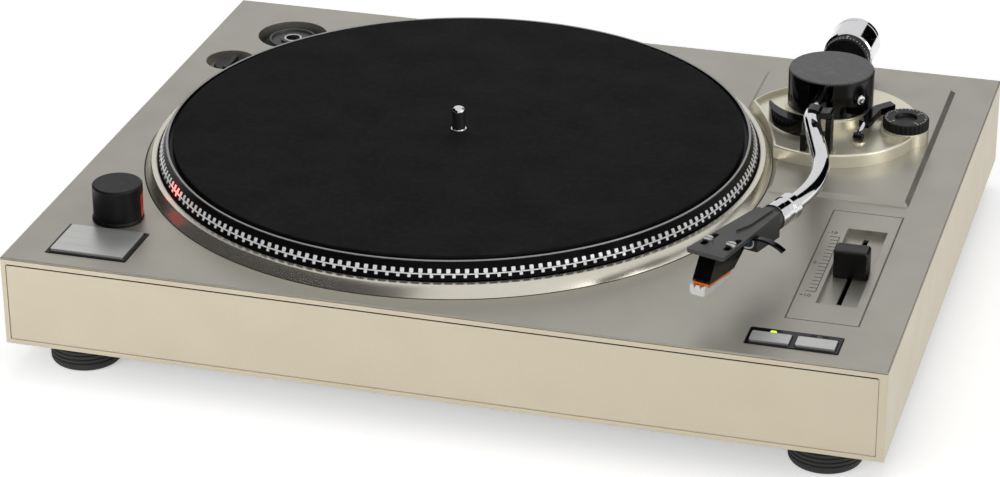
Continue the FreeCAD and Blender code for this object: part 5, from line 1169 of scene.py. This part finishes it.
@dataclass
class Deck:
    """The collar round the platter, the pitch panel's marks and the front panel's seam, with painted shade
    in the panel's groove and the seam and a painted shadow at the collar's foot.
    """

    collar: tuple[Point, ...] = ((166.62, 0.0), (163.5, 5.72), (162.9, 6.12), (160.35, 6.12),
                                 (160.35, 5.8), (165.0, 0.0))
    # The profile of a thin dark ring at the collar's foot: a painted shadow where the collar meets the
    # deck.
    gap: tuple[Point, ...] = ((166.32, 0.0), (166.52, 0.12), (167.07, 0.05), (167.12, -0.05))
    tick_left: float = 172.0
    tick_right: float = 176.0
    tick_width: float = 0.4
    first_tick: float = -104.0
    last_tick: float = -42.0
    ticks: int = 17
    long_every: int = 8
    long_extra: float = 1.0
    figures: tuple[tuple[str, float, float], ...] = (("0", 169.4, -72.8), ("-10", 171.6, -37.4),
                                                     ("+10", 171.6, -108.8))
    figure_size: float = 3.8
    ink: float = 0.06
    panel: tuple[float, float, float, float] = (167.2, -134.6, 203.2, -11.4)
    panel_line: float = 0.35
    groove_floor: float = 0.4
    seam_left: float = -222.4
    seam_right: float = 220.9
    seam_y: float = -175.3
    seam_depth: float = 0.5
    seam_high: float = DECK - 3.7
    seam_height: float = 0.8
    packing_y: float = -175.05
    packing_depth: float = 0.8
    packing_low: float = 19.0

    def scale(self) -> Shape:
        """Print the pitch scale.

        Returns:
            Its ticks, its line and its plain figures.
        """
        shape = Shape()
        middle = (self.first_tick + self.last_tick) / 2
        reach = self.last_tick - self.first_tick
        strips = []
        for i in range(self.ticks):
            y = self.first_tick + reach * i / (self.ticks - 1)
            left = self.tick_left - (self.long_extra if i % self.long_every == 0 else 0.0)
            length = self.tick_right - left
            strips.append(box_outline((left + self.tick_right) / 2, y, length, self.tick_width))
        strips.append(box_outline(self.tick_right, middle, self.panel_line, reach))
        for outline in strips:
            shape.block(outline, DECK - self.ink, DECK + self.ink)
        for text, x, y in self.figures:
            shape.words(text, self.figure_size, 2 * self.ink, moved(x, y, DECK))
        return shape

    def outline(self) -> Shape:
        """Paint the shade in the groove round the pitch panel as a dark line.

        Returns:
            The line's four sides.
        """
        left, front, right, back = self.panel
        low = DECK - self.groove_floor - self.ink
        line = self.panel_line
        strips = [box_outline(x, (front + back) / 2, line, back - front) for x in (left, right)]
        strips += [box_outline((left + right) / 2, y, right - left - line, line) for y in (front, back)]
        shape = Shape()
        for strip in strips:
            shape.block(strip, low, low + 2 * self.ink)
        return shape

    def seam(self) -> Shape:
        """Lay a dark strip above the front panel: painted shade where the lip overhangs the seam.

        Returns:
            The strip.
        """
        outline = box_outline((self.seam_left + self.seam_right) / 2, self.seam_y,
                              self.seam_right - self.seam_left, self.seam_depth)
        return Shape().block(outline, self.seam_high - self.seam_height, self.seam_high)

    def packing(self) -> Shape:
        """Fill the space at the front panel's ends and foot.

        Returns:
            The painted packing.
        """
        thick = self.seam_height
        shape = Shape()
        for x in (self.seam_left + thick / 2, self.seam_right - thick / 2):
            outline = box_outline(x, self.packing_y, thick, self.packing_depth)
            shape.block(outline, self.packing_low, self.seam_high)
        foot = box_outline((self.seam_left + self.seam_right) / 2, self.packing_y,
                           self.seam_right - self.seam_left, self.packing_depth)
        return shape.block(foot, self.packing_low, self.packing_low + thick)

    def build(self, kit: Kit) -> None:
        """Add the collar's lacquered face, the panel's marks, the painted shade in the panel's groove and
        the seam, the packing and the painted shadow line at the collar's foot.

        Args:
            kit: What puts pieces into the scene.
        """
        centre = moved(Platter.x, Platter.y, DECK)
        pieces = (
            ("platter_collar", Shape().turned(self.collar, RING_STEPS, centre), COLLAR_METAL, "deck_paint"),
            ("pitch_scale", self.scale(), DARK_INK, "black_matte"),
            # Painted shade in the groove round the pitch panel.
            ("pitch_panel_groove_shade", self.outline(), PANEL_GROOVE_SHADE, "black_matte"),
            # A dark strip of painted shade in the seam above the front panel.
            ("front_seam_shade", self.seam(), SHADE_BLACK, "black_matte"),
            ("front_packing", self.packing(), CASE_PAINT, "champagne_paint"),
            # A painted shadow line where the collar meets the deck.
            ("collar_gap", Shape().turned(self.gap, RING_STEPS, centre), SHADE_BLACK, "black_matte"),
        )
        for name, shape, finish, slot in pieces:
            kit.add(name, shape, finish, "base", slot)


@dataclass
class Controls:
    """Marks and small trims on the controls."""

    adaptor: Place = (-178.7, 133.5, DECK - 1.6)
    bush: tuple[Point, ...] = ((3.7, -4.0), (3.7, -1.6), (4.2, 0.0), (4.9, 0.0), (5.2, -0.3), (5.2, -4.0))
    tower: Place = (-184.6, -117.2, DECK)
    tower_ring: tuple[Point, ...] = ((12.7, 0.0), (13.7, 0.0), (13.7, 1.0), (13.1, 1.9), (12.7, 1.9))
    ring_start: float = 68.0
    ring_end: float = 347.0
    lamp_places: tuple[float, float] = (165.1, 187.3)
    lamp_y: float = -151.0
    lamp_top: float = DECK + 0.2
    window: Pad = Pad(8.0, 2.2, 0.5, 2.5, 0.0, 0.15)
    dome: Pad = Pad(3.2, 1.7, 0.7, 0.2, 0.45, 0.35)
    cap_x: float = 188.4
    cap_y: float = -74.9
    cap_top: float = DECK + 11.4
    cap_low: float = DECK - 2.6
    cap_width: float = 17.4
    cap_depth: float = 10.4
    cap_rise: float = 0.2
    cap_flare: float = 0.2
    cap_shoulder: float = 1.0
    cap_fall: float = 0.7
    cap_lean: float = 0.4
    # Each section's share of the way back, how far it is drawn in, and how far its top dips.
    cap_sections: tuple[tuple[float, float, float], ...] = (
        (0.0, 1.1, 0.0), (0.06, 0.25, 0.0), (0.2, 0.0, 0.0), (0.5, 0.0, 0.5), (0.8, 0.0, 0.0),
        (0.94, 0.25, 0.0), (1.0, 1.1, 0.0))
    line_end: float = 1.5
    line_width: float = 0.6
    line_low: float = -0.5
    line_high: float = -0.2

    def lamps(self, pad: Pad) -> Shape:
        """One form at the place of each of the two lamps.

        Args:
            pad: The form.

        Returns:
            Both of them.
        """
        shape = Shape()
        for x in self.lamp_places:
            pad.put(shape, x, self.lamp_y, self.lamp_top)
        return shape

    def cap(self) -> Shape:
        """Mould the pitch cap, with softened edges and a hollowed top.

        Returns:
            The moulding.
        """
        half = self.cap_width / 2
        rows = []
        for share, inset, dip in self.cap_sections:
            high = self.cap_top + self.cap_rise - inset * self.cap_fall - dip
            corners = ((half - inset + self.cap_flare, self.cap_low),
                       (half - inset * self.cap_lean, high - self.cap_shoulder),
                       (half - self.cap_shoulder, high))
            edge = [(-x, z) for x, z in corners] + list(reversed(corners))
            y = self.cap_y + self.cap_depth * (share - 0.5)
            rows.append([Vector((self.cap_x + x, y, z)) for x, z in edge])
        shape = Shape()
        shape.skin(rows, False, True)
        return shape

    def cap_line(self) -> Shape:
        """The pale pointer line over the pitch cap."""
        outline = box_outline(self.cap_x, self.cap_y, self.cap_width - 2 * self.line_end, self.line_width)
        return Shape().block(outline, self.cap_top + self.line_low, self.cap_top + self.line_high)

    def build(self, kit: Kit) -> None:
        """Add the trims.

        Args:
            kit: What puts pieces into the scene.
        """
        bush = Shape().turned(self.bush, place=moved(*self.adaptor), steps=48)
        kit.add("adaptor_bush", bush, CHROME, "adaptor", "chrome")
        ring = Shape().turned(self.tower_ring, place=moved(*self.tower), steps=64, start=self.ring_start,
                              end=self.ring_end)
        kit.add("tower_foot_ring", ring, BLACK_MATTE, "base", "black_matte")
        kit.add("lamp_windows", self.lamps(self.window), BLACK_GLOSS, "base", "lamp", ("speed_lamps",))
        kit.add("lamp_domes", self.lamps(self.dome), LAMPS, "base", "lamp")
        kit.add("cap_moulding", self.cap(), CAP_BLACK, "pitch_slider", "black_matte")
        kit.add("cap_line", self.cap_line(), WHITE_INK, "pitch_slider", "black_matte")


@dataclass
class Turret:
    """The two raised shields on the turret, each with an arched niche and a pivot screw.

    Angles are in degrees from the right. The niche's own is its middle, and niche_half half its width.
    """

    x: float = 144.3
    y: float = 92.6
    radius: float = 22.8
    rise: float = 0.35
    sink: float = 0.1
    rounding: float = 0.25
    step: float = 1.5
    low: float = DECK + 14.6
    high: float = DECK + 32.5
    start: float = -76.4
    end: float = 22.0
    niche: float = -34.5
    niche_half: float = 11.0
    arch_middle: float = DECK + 23.2
    screw: tuple[Point, ...] = ((0.01, -1.0), (2.7, -1.0), (2.7, 0.3), (2.2, 0.9), (1.1, 1.1), (0.9, 0.6),
                                (0.01, 0.5))

    def lower_edge(self, angle: float, arch_at: float | None) -> float:
        """The lower edge's height: straight beside a niche, and an arch over it.

        Args:
            angle: The angle that it is asked for, in degrees.
            arch_at: The niche's middle angle, or none beside it.

        Returns:
            The height.
        """
        if arch_at is None:
            return self.low
        arch = math.radians(self.niche_half) * self.radius
        away = math.radians(angle - arch_at) * self.radius
        return self.arch_middle + math.sqrt(max(0.0, arch * arch - away * away))

    def plate(self, start: float, end: float, arch_at: float | None = None) -> Shape:
        """A curved plate against the turret's wall.

        Args:
            start: Its first angle, in degrees.
            end: Its last angle.
            arch_at: The middle angle of the niche below it, or none beside one.

        Returns:
            The plate.
        """
        steps = max(2, int(abs(end - start) / self.step))
        inner = self.radius - self.sink
        outer = self.radius + self.rise
        rows = []
        for i in range(steps + 1):
            angle = start + (end - start) * i / steps
            low = self.lower_edge(angle, arch_at)
            edge = ((inner, low), (outer - self.rounding, low), (outer, low + self.rounding),
                    (outer, self.high - self.rounding), (outer - self.rounding, self.high),
                    (inner, self.high))
            place = moved(self.x, self.y, 0.0) @ turn(angle, "Z")
            rows.append([place @ Vector((r, 0.0, z)) for r, z in edge])
        shape = Shape()
        shape.skin(rows, False, True)
        return shape

    def shield(self, around: float) -> Shape:
        """One shield, turned round the turret's axis.

        Args:
            around: How far it is turned, in degrees.

        Returns:
            The shield.
        """
        middle = self.niche + around
        left = middle - self.niche_half
        right = middle + self.niche_half
        shape = self.plate(self.start + around, left)
        self.plate(right, self.end + around).pour_into(shape)
        self.plate(left, right, middle).pour_into(shape)
        return shape

    def screws(self) -> Shape:
        """Set a pivot screw with a hollowed head in each niche.

        Returns:
            Both screws.
        """
        shape = Shape()
        for around in (self.niche, self.niche + 180):
            place = moved(self.x, self.y, PIVOT) @ turn(around, "Z") @ moved(self.radius, 0.0, 0.0)
            shape.turned(self.screw, place=place @ turn(90, "Y"), steps=32)
        return shape

    def build(self, kit: Kit) -> None:
        """Add both shields and their screws.

        Args:
            kit: What puts pieces into the scene.
        """
        kit.add("turret_shield_front", self.shield(0.0), BLACK_GLOSS, "turret", "black_gloss")
        kit.add("turret_shield_back", self.shield(180.0), BLACK_GLOSS, "turret", "black_gloss")
        kit.add("turret_shield_screws", self.screws(), CHROME, "turret", "chrome")


@dataclass
class ArmDials:
    """Figures and ticks on the counterweight's dial and on the side force dial."""

    ink: float = 0.05
    tick: float = 0.42
    weight_radius: float = 12.4
    weight_front: float = 41.4
    weight_ticks: int = 40
    weight_figure_every: int = 10
    weight_tick_start: float = 0.9
    weight_lengths: Point = (1.8, 1.1)
    weight_figure_size: float = 2.9
    weight_figure_y: float = 4.5
    side: Place = (188.0, 79.0, DECK + 15.3)
    side_ticks: int = 24
    side_start: float = 225.0
    side_reach: float = 270.0
    side_long_every: int = 4
    side_figure_every: int = 8
    side_tick_end: float = 11.2
    side_lengths: Point = (1.5, 0.9)
    side_figure_size: float = 2.4
    side_figure_radius: float = 8.3

    def weight_figures(self) -> Shape:
        """Print the figures 0 to 3 with ticks, round the counterweight's dial.

        Returns:
            The marks.
        """
        shape = Shape()
        for i in range(self.weight_ticks):
            around = turn(360.0 / self.weight_ticks * i, "Y")
            place = ARM_FRAME @ around @ moved(0.0, self.weight_front, self.weight_radius)
            number, rest = divmod(i, self.weight_figure_every)
            length = self.weight_lengths[1 if rest else 0]
            outline = box_outline(0.0, self.weight_tick_start + length / 2, self.tick, length)
            shape.block(outline, -self.ink, self.ink, place)
            if not rest:
                figure = place @ moved(0.0, self.weight_figure_y, 0.0)
                shape.words(str(number), self.weight_figure_size, 2 * self.ink, figure)
        return shape

    def side_figures(self) -> Shape:
        """Print the figures 0 to 3 with ticks, on top of the side force dial.

        Returns:
            The marks.
        """
        shape = Shape()
        for i in range(self.side_ticks + 1):
            place = moved(*self.side) @ turn(self.side_start - self.side_reach * i / self.side_ticks, "Z")
            length = self.side_lengths[1 if i % self.side_long_every else 0]
            outline = box_outline(self.side_tick_end - length / 2, 0.0, length, self.tick)
            shape.block(outline, -self.ink, self.ink, place)
            number, rest = divmod(i, self.side_figure_every)
            if not rest:
                figure = place @ moved(self.side_figure_radius, 0.0, 0.0) @ turn(-90, "Z")
                shape.words(str(number), self.side_figure_size, 2 * self.ink, figure)
        return shape

    def build(self, kit: Kit) -> None:
        """Add both dials' marks.

        Args:
            kit: What puts pieces into the scene.
        """
        kit.add("weight_figures", self.weight_figures(), WHITE_INK, "weight_dial", "black_matte")
        kit.add("side_force_figures", self.side_figures(), WHITE_INK, "side_force_dial", "black_matte")


@dataclass
class Pickup:
    """The pickup's milky guard, its stylus holder's prongs and the painted shade in the headshell's slots.
    """

    half: float = 4.2
    wall: float = 0.9
    front: float = 71.9
    side: tuple[Point, ...] = ((71.0, -14.2), (52.0, -13.4), (48.2, -11.6), (48.2, -10.4), (56.0, -10.3),
                               (56.4, -9.3), (61.5, -9.3), (62.0, -10.3), (68.8, -10.3), (69.4, -9.0),
                               (71.4, -8.6), (71.9, -9.4), (71.9, -13.4))
    floor: tuple[Point, ...] = ((71.0, -14.15), (52.0, -13.35), (49.5, -12.2), (49.5, -11.5), (70.6, -13.2))
    nose: tuple[Point, ...] = ((-3.3, -14.0), (3.3, -14.0), (3.3, -8.9), (2.4, -8.9), (1.7, -10.6),
                               (0.9, -8.9), (-0.9, -8.9), (-1.7, -10.6), (-2.4, -8.9), (-3.3, -8.9))
    prongs: tuple[float, ...] = (-2.9, 0.0, 2.9)
    prong_y: float = -68.9
    prong_z: float = -10.0
    prong_outline: tuple[Point, ...] = ((-0.7, -1.0), (0.7, -1.0), (0.9, 0.8), (-0.9, 0.8))
    prong_low: float = -2.2
    prong_high: float = 0.6
    prong_slope: float = 0.3
    slot_places: tuple[float, float] = (-6.35, 6.35)
    slot_y: float = -50.5
    slot_floor: float = 4.02
    slot: Pad = Pad(3.1, 14.9, 1.5, 0.0, 0.48)

    def guard(self) -> Shape:
        """Join two side walls, a floor and a notched nose.

        Returns:
            The guard.
        """
        inner = self.half - self.wall
        shape = Shape()
        for outline, left, right in ((self.side, -self.half, -inner), (self.side, inner, self.half),
                                     (self.floor, -inner, inner)):
            rows = [[HEAD_FRAME @ Vector((x, -y, z)) for y, z in outline] for x in (left, right)]
            shape.skin(rows, False, True)
        rows = []
        for y in (-self.front, self.wall - self.front):
            rows.append([HEAD_FRAME @ Vector((x, y, z)) for x, z in self.nose])
        shape.skin(rows, False, True)
        return shape

    def teeth(self) -> Shape:
        """Put three small prongs at the front of the stylus holder.

        Returns:
            The prongs.
        """
        shape = Shape()
        for x in self.prongs:
            place = HEAD_FRAME @ moved(x, self.prong_y, self.prong_z)
            shape.block(self.prong_outline, self.prong_low, self.prong_high, place, self.prong_slope)
        return shape

    def slots(self) -> Shape:
        """Paint the shade inside the shell's two slots as dark blocks.

        Returns:
            The dark blocks of painted shade.
        """
        shape = Shape()
        for x in self.slot_places:
            self.slot.put(shape, x, self.slot_y, self.slot_floor, HEAD_FRAME)
        return shape

    def build(self, kit: Kit) -> None:
        """Add the guard in place of the plain one, the prongs and the painted shade in the slots.

        Args:
            kit: What puts pieces into the scene.
        """
        kit.add("guard_shell", self.guard(), GUARD, "guard", "clear_guard", ("stylus_guard",))
        kit.add("stylus_teeth", self.teeth(), ORANGE, "head", "orange_plastic")
        kit.add("slot_shade", self.slots(), SHADE_BLACK, "head", "black_matte")


@dataclass
class Leads:
    """The pickup's four coloured leads."""

    start: float = -26.2
    end: float = -36.0
    level: float = -1.0
    pitch: float = 2.6
    right_bow: float = 2.2
    left_bow: float = -0.88
    sag: float = 1.5
    radius: float = 0.42
    steps: int = 12

    def path(self, x: float) -> list[Vector]:
        """A lead's middle line, which bows sideways and sags.

        Args:
            x: The place of its two ends across the headshell.

        Returns:
            The points.
        """
        bow = self.right_bow if x > 0 else self.left_bow
        points = []
        for k in range(self.steps + 1):
            share = k / self.steps
            swell = math.sin(math.pi * share)
            y = self.start + (self.end - self.start) * share
            points.append(Vector((x + bow * swell, y, self.level - self.sag * swell)))
        return points

    def build(self, kit: Kit) -> None:
        """Sweep each lead in its own colour.

        Args:
            kit: What puts pieces into the scene.
        """
        for i, finish in enumerate(LEAD_PLASTICS):
            x = ((len(LEAD_PLASTICS) - 1) / 2 - i) * self.pitch
            lead = Shape().rod(self.path(x), self.radius, steps=10, place=HEAD_FRAME)
            kit.add(finish.name, lead, finish, "head", "lead_wire", () if i else ("cartridge_leads",))


@dataclass
class LiftLever:
    """The bright wire of the arm lift's lever."""

    hub: Place = (166.1, 59.2, DECK + 9.9)
    angle: float = -10.0
    radius: float = 1.35
    path: tuple[Point, ...] = ((-0.5, 0.6), (1.5, 1.5), (3.5, 2.7), (5.8, 3.9), (8.0, 4.6))

    def build(self, kit: Kit) -> None:
        """Sweep the wire from the hub to the grip.

        Args:
            kit: What puts pieces into the scene.
        """
        place = moved(*self.hub) @ turn(self.angle, "Z")
        path = [Vector((0.0, y, z)) for y, z in self.path]
        wire = Shape().rod(path, self.radius, steps=16, place=place)
        kit.add("lever_wire", wire, CHROME, "lever", "chrome")


@dataclass
class Sockets:
    """Coloured rings round the phono sockets on the back."""

    places: tuple[float, float] = (-159.0, -141.0)
    face: float = 172.0
    height: float = 41.0
    ring: tuple[Point, ...] = ((4.25, 0.0), (5.8, 0.0), (5.8, 0.9), (5.3, 1.4), (4.25, 1.4))

    def build(self, kit: Kit) -> None:
        """Add a ring for each socket.

        Args:
            kit: What puts pieces into the scene.
        """
        for x, finish in zip(self.places, (SOCKET_RED, SOCKET_WHITE)):
            place = moved(x, self.face, self.height) @ turn(-90, "X")
            ring = Shape().turned(self.ring, place=place, steps=48)
            kit.add(finish.name, ring, finish, "base", "black_matte")


def link(name: str, data: bpy.types.ID) -> bpy.types.Object:
    """Put a new object into the scene.

    Args:
        name: Its name.
        data: Its mesh, light or camera.

    Returns:
        The object.
    """
    made = bpy.data.objects.new(name, data)
    bpy.context.scene.collection.objects.link(made)
    return made


def aimed(spot: Place, target: Place) -> Matrix:
    """The frame of a lamp that hangs at a spot and points at a target."""
    aim = (Vector(target) - Vector(spot)).to_track_quat("-Z", "Y")
    return Matrix.Translation(spot) @ aim.to_matrix().to_4x4()


@dataclass(frozen=True)
class Softbox:
    """A soft rectangular lamp, whose power is in watts."""

    name: str
    spot: Place
    target: Place
    size: Point
    power: float
    in_polish: bool = False

    def hang(self) -> None:
        """Add the lamp, which the camera doesn't see and polished faces only if in_polish is set."""
        light = bpy.data.lights.new(self.name, "AREA")
        light.shape = "RECTANGLE"
        light.size, light.size_y = self.size
        light.energy = self.power
        lamp = link(self.name, light)
        lamp.matrix_world = aimed(self.spot, self.target)
        lamp.visible_camera = False
        lamp.visible_glossy = self.in_polish


@dataclass(frozen=True)
class StrobeGlow:
    """The red light that the strobe tower's window throws on the platter's rim."""

    spot: Place = (-0.1705, -0.1085, 0.0775)
    target: Place = (-0.158, -0.0965, 0.0735)
    power: float = 0.06
    colour: Colour = (1.0, 0.05, 0.02)
    softness: float = 0.002
    spread: float = 58.0
    fade: float = 0.6

    def hang(self) -> None:
        """Add the light."""
        light = bpy.data.lights.new("strobe_glow", "SPOT")
        light.energy = self.power
        light.color = self.colour
        light.shadow_soft_size = self.softness
        light.spot_size = math.radians(self.spread)
        light.spot_blend = self.fade
        lamp = link("strobe_glow", light)
        lamp.matrix_world = aimed(self.spot, self.target)
        lamp.visible_glossy = False


@dataclass(frozen=True)
class Flag:
    """A curved dark card round the object, which only shows in polished faces.

    It goes from start to end, in degrees from the right, and up to the angle high from the floor. With
    a skirt it also comes in along the floor, as near as that.
    """

    name: str
    start: float
    end: float
    high: float
    skirt: float = 0.0
    distance: float = 1.6
    step: float = 6.0
    above_floor: float = 0.002

    def hang(self) -> None:
        """Add the card."""
        reach = []
        for share in (0.0, 0.5, 1.0):
            level = math.radians(self.high * share)
            reach.append(Vector((self.distance * math.cos(level), 0.0, self.distance * math.sin(level))))
        if self.skirt:
            reach.insert(0, Vector((self.skirt, 0.0, self.above_floor)))
        width = len(reach)
        steps = max(2, int((self.end - self.start) / self.step))
        points = []
        for i in range(steps + 1):
            around = turn(self.start + (self.end - self.start) * i / steps, "Z")
            points += [around @ point for point in reach]
        starts = [width * i + k for i in range(steps) for k in range(width - 1)]
        mesh = bpy.data.meshes.new(self.name)
        mesh.from_pydata(points, [], [(n, n + 1, n + width + 1, n + width) for n in starts])
        mesh.materials.append(FLAG_CLOTH.material())
        card = link(self.name, mesh)
        card.visible_camera = False
        card.visible_diffuse = False
        card.visible_shadow = False
        card.visible_transmission = False


@dataclass(frozen=True)
class PhotoCamera:
    """The camera, which looks at the object as the photograph does."""

    spot: Place = (0.4323, -1.5200, 0.8055)
    heading: float = 16.41
    dip: float = 26.40
    roll: float = -0.41
    lens: float = 118.53
    sensor: float = 36.0
    nearest: float = 0.05
    farthest: float = 60.0

    def set_up(self) -> None:
        """Add the camera and look through it."""
        made = bpy.data.cameras.new("photo_camera")
        made.lens = self.lens
        made.sensor_width = self.sensor
        made.clip_start = self.nearest
        made.clip_end = self.farthest
        camera = link("photo_camera", made)
        view = turn(self.heading, "Z") @ turn(90 - self.dip, "X") @ turn(self.roll, "Z")
        camera.matrix_world = moved(*self.spot) @ view
        bpy.context.scene.camera = camera


@dataclass(frozen=True)
class Studio:
    """A plain pale floor, a white surround, soft lamps, dark cards and the camera."""

    floor_size: float = 12.0
    floor_shades: tuple[Colour, Colour] = ((0.86, 0.86, 0.86), (0.89, 0.89, 0.89))
    floor_roughness: float = 0.9
    floor_clouds: float = 3.0
    floor_glow: float = 0.45
    surround_light: float = 0.42
    lamps: tuple[Softbox, ...] = (
        Softbox("front_softbox", (-0.5, -0.95, 0.4), (-0.12, -0.17, 0.04), (0.6, 0.5), 4.4),
        Softbox("fill_softbox", (-0.7, -2.4, 1.0), (-0.05, 0.0, 0.03), (1.8, 1.0), 2.4),
        Softbox("top_softbox", (0.1, 0.5, 2.4), (0.0, 0.0, 0.0), (1.6, 1.2), 14.0),
        Softbox("right_softbox", (2.2, -0.6, 0.9), (0.0, 0.0, 0.05), (1.0, 1.0), 10.0, True))
    flags: tuple[Flag, ...] = (
        Flag("front_flag", -210.0, -92.0, 50.0),
        Flag("left_flag", 120.0, 150.0, 15.0),
        Flag("back_flag", 44.0, 73.0, 50.0, 0.7))

    def floor_material(self) -> bpy.types.Material:
        """Make the floor's material, which glows a little where it is looked at.

        Returns:
            The material.
        """
        made = bpy.data.materials.new("white_floor")
        graph = Graph.fresh(made)
        shader = graph.node("ShaderNodeBsdfPrincipled")
        output = graph.node("ShaderNodeOutputMaterial")
        graph.plug(output.inputs["Surface"], shader.outputs[0])
        shade = graph.blend(graph.clouds(self.floor_clouds), *self.floor_shades)
        graph.plug(shader.inputs["Base Color"], shade)
        shader.inputs["Roughness"].default_value = self.floor_roughness
        shader.inputs["Specular IOR Level"].default_value = 0.0
        glow = graph.blend(graph.seen(), (0.0, 0.0, 0.0), (1.0, 1.0, 1.0))
        graph.plug(shader.inputs["Emission Color"], glow)
        shader.inputs["Emission Strength"].default_value = self.floor_glow
        return made

    def floor(self) -> None:
        """Lay a white floor that keeps the object's shadow."""
        mesh = bpy.data.meshes.new("floor")
        corners = [(x, y, 0.0) for x, y in box_outline(0.0, 0.0, self.floor_size, self.floor_size)]
        mesh.from_pydata(corners, [], [(0, 1, 2, 3)])
        link("floor", mesh)
        mesh.materials.append(self.floor_material())

    def surround(self) -> None:
        """Set a world that is white where it is looked at and softer as a light."""
        world = bpy.data.worlds.new("surround")
        bpy.context.scene.world = world
        graph = Graph.fresh(world)
        background = graph.node("ShaderNodeBackground")
        output = graph.node("ShaderNodeOutputWorld")
        graph.plug(output.inputs["Surface"], background.outputs[0])
        strength = graph.remap(graph.seen(), 0.0, 1.0, self.surround_light, 1.0)
        graph.plug(background.inputs["Strength"], strength)

    def build(self) -> None:
        """Set the stage, the lamps and the camera."""
        bpy.context.scene.view_settings.view_transform = "Standard"
        self.floor()
        self.surround()
        for thing in (*self.lamps, StrobeGlow(), *self.flags):
            thing.hang()
        PhotoCamera().set_up()


def dress_frame(kit: Kit) -> None:
    """Give every CAD node its finish.

    Args:
        kit: What dresses them.
    """
    for finish, nodes in NODE_FINISHES.items():
        for node in nodes:
            kit.dress(node, finish)


def main() -> None:
    """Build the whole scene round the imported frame."""
    logging.basicConfig(level=logging.INFO, format="%(message)s")
    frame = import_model()
    kit = Kit(frame)
    dress_frame(kit)
    parts = (Platter(), Deck(), Controls(), Turret(), ArmDials(), Pickup(), Leads(), LiftLever(), Sockets())
    for part in parts:
        part.build(kit)
    Studio().build()


if __name__ == "__main__":
    main()
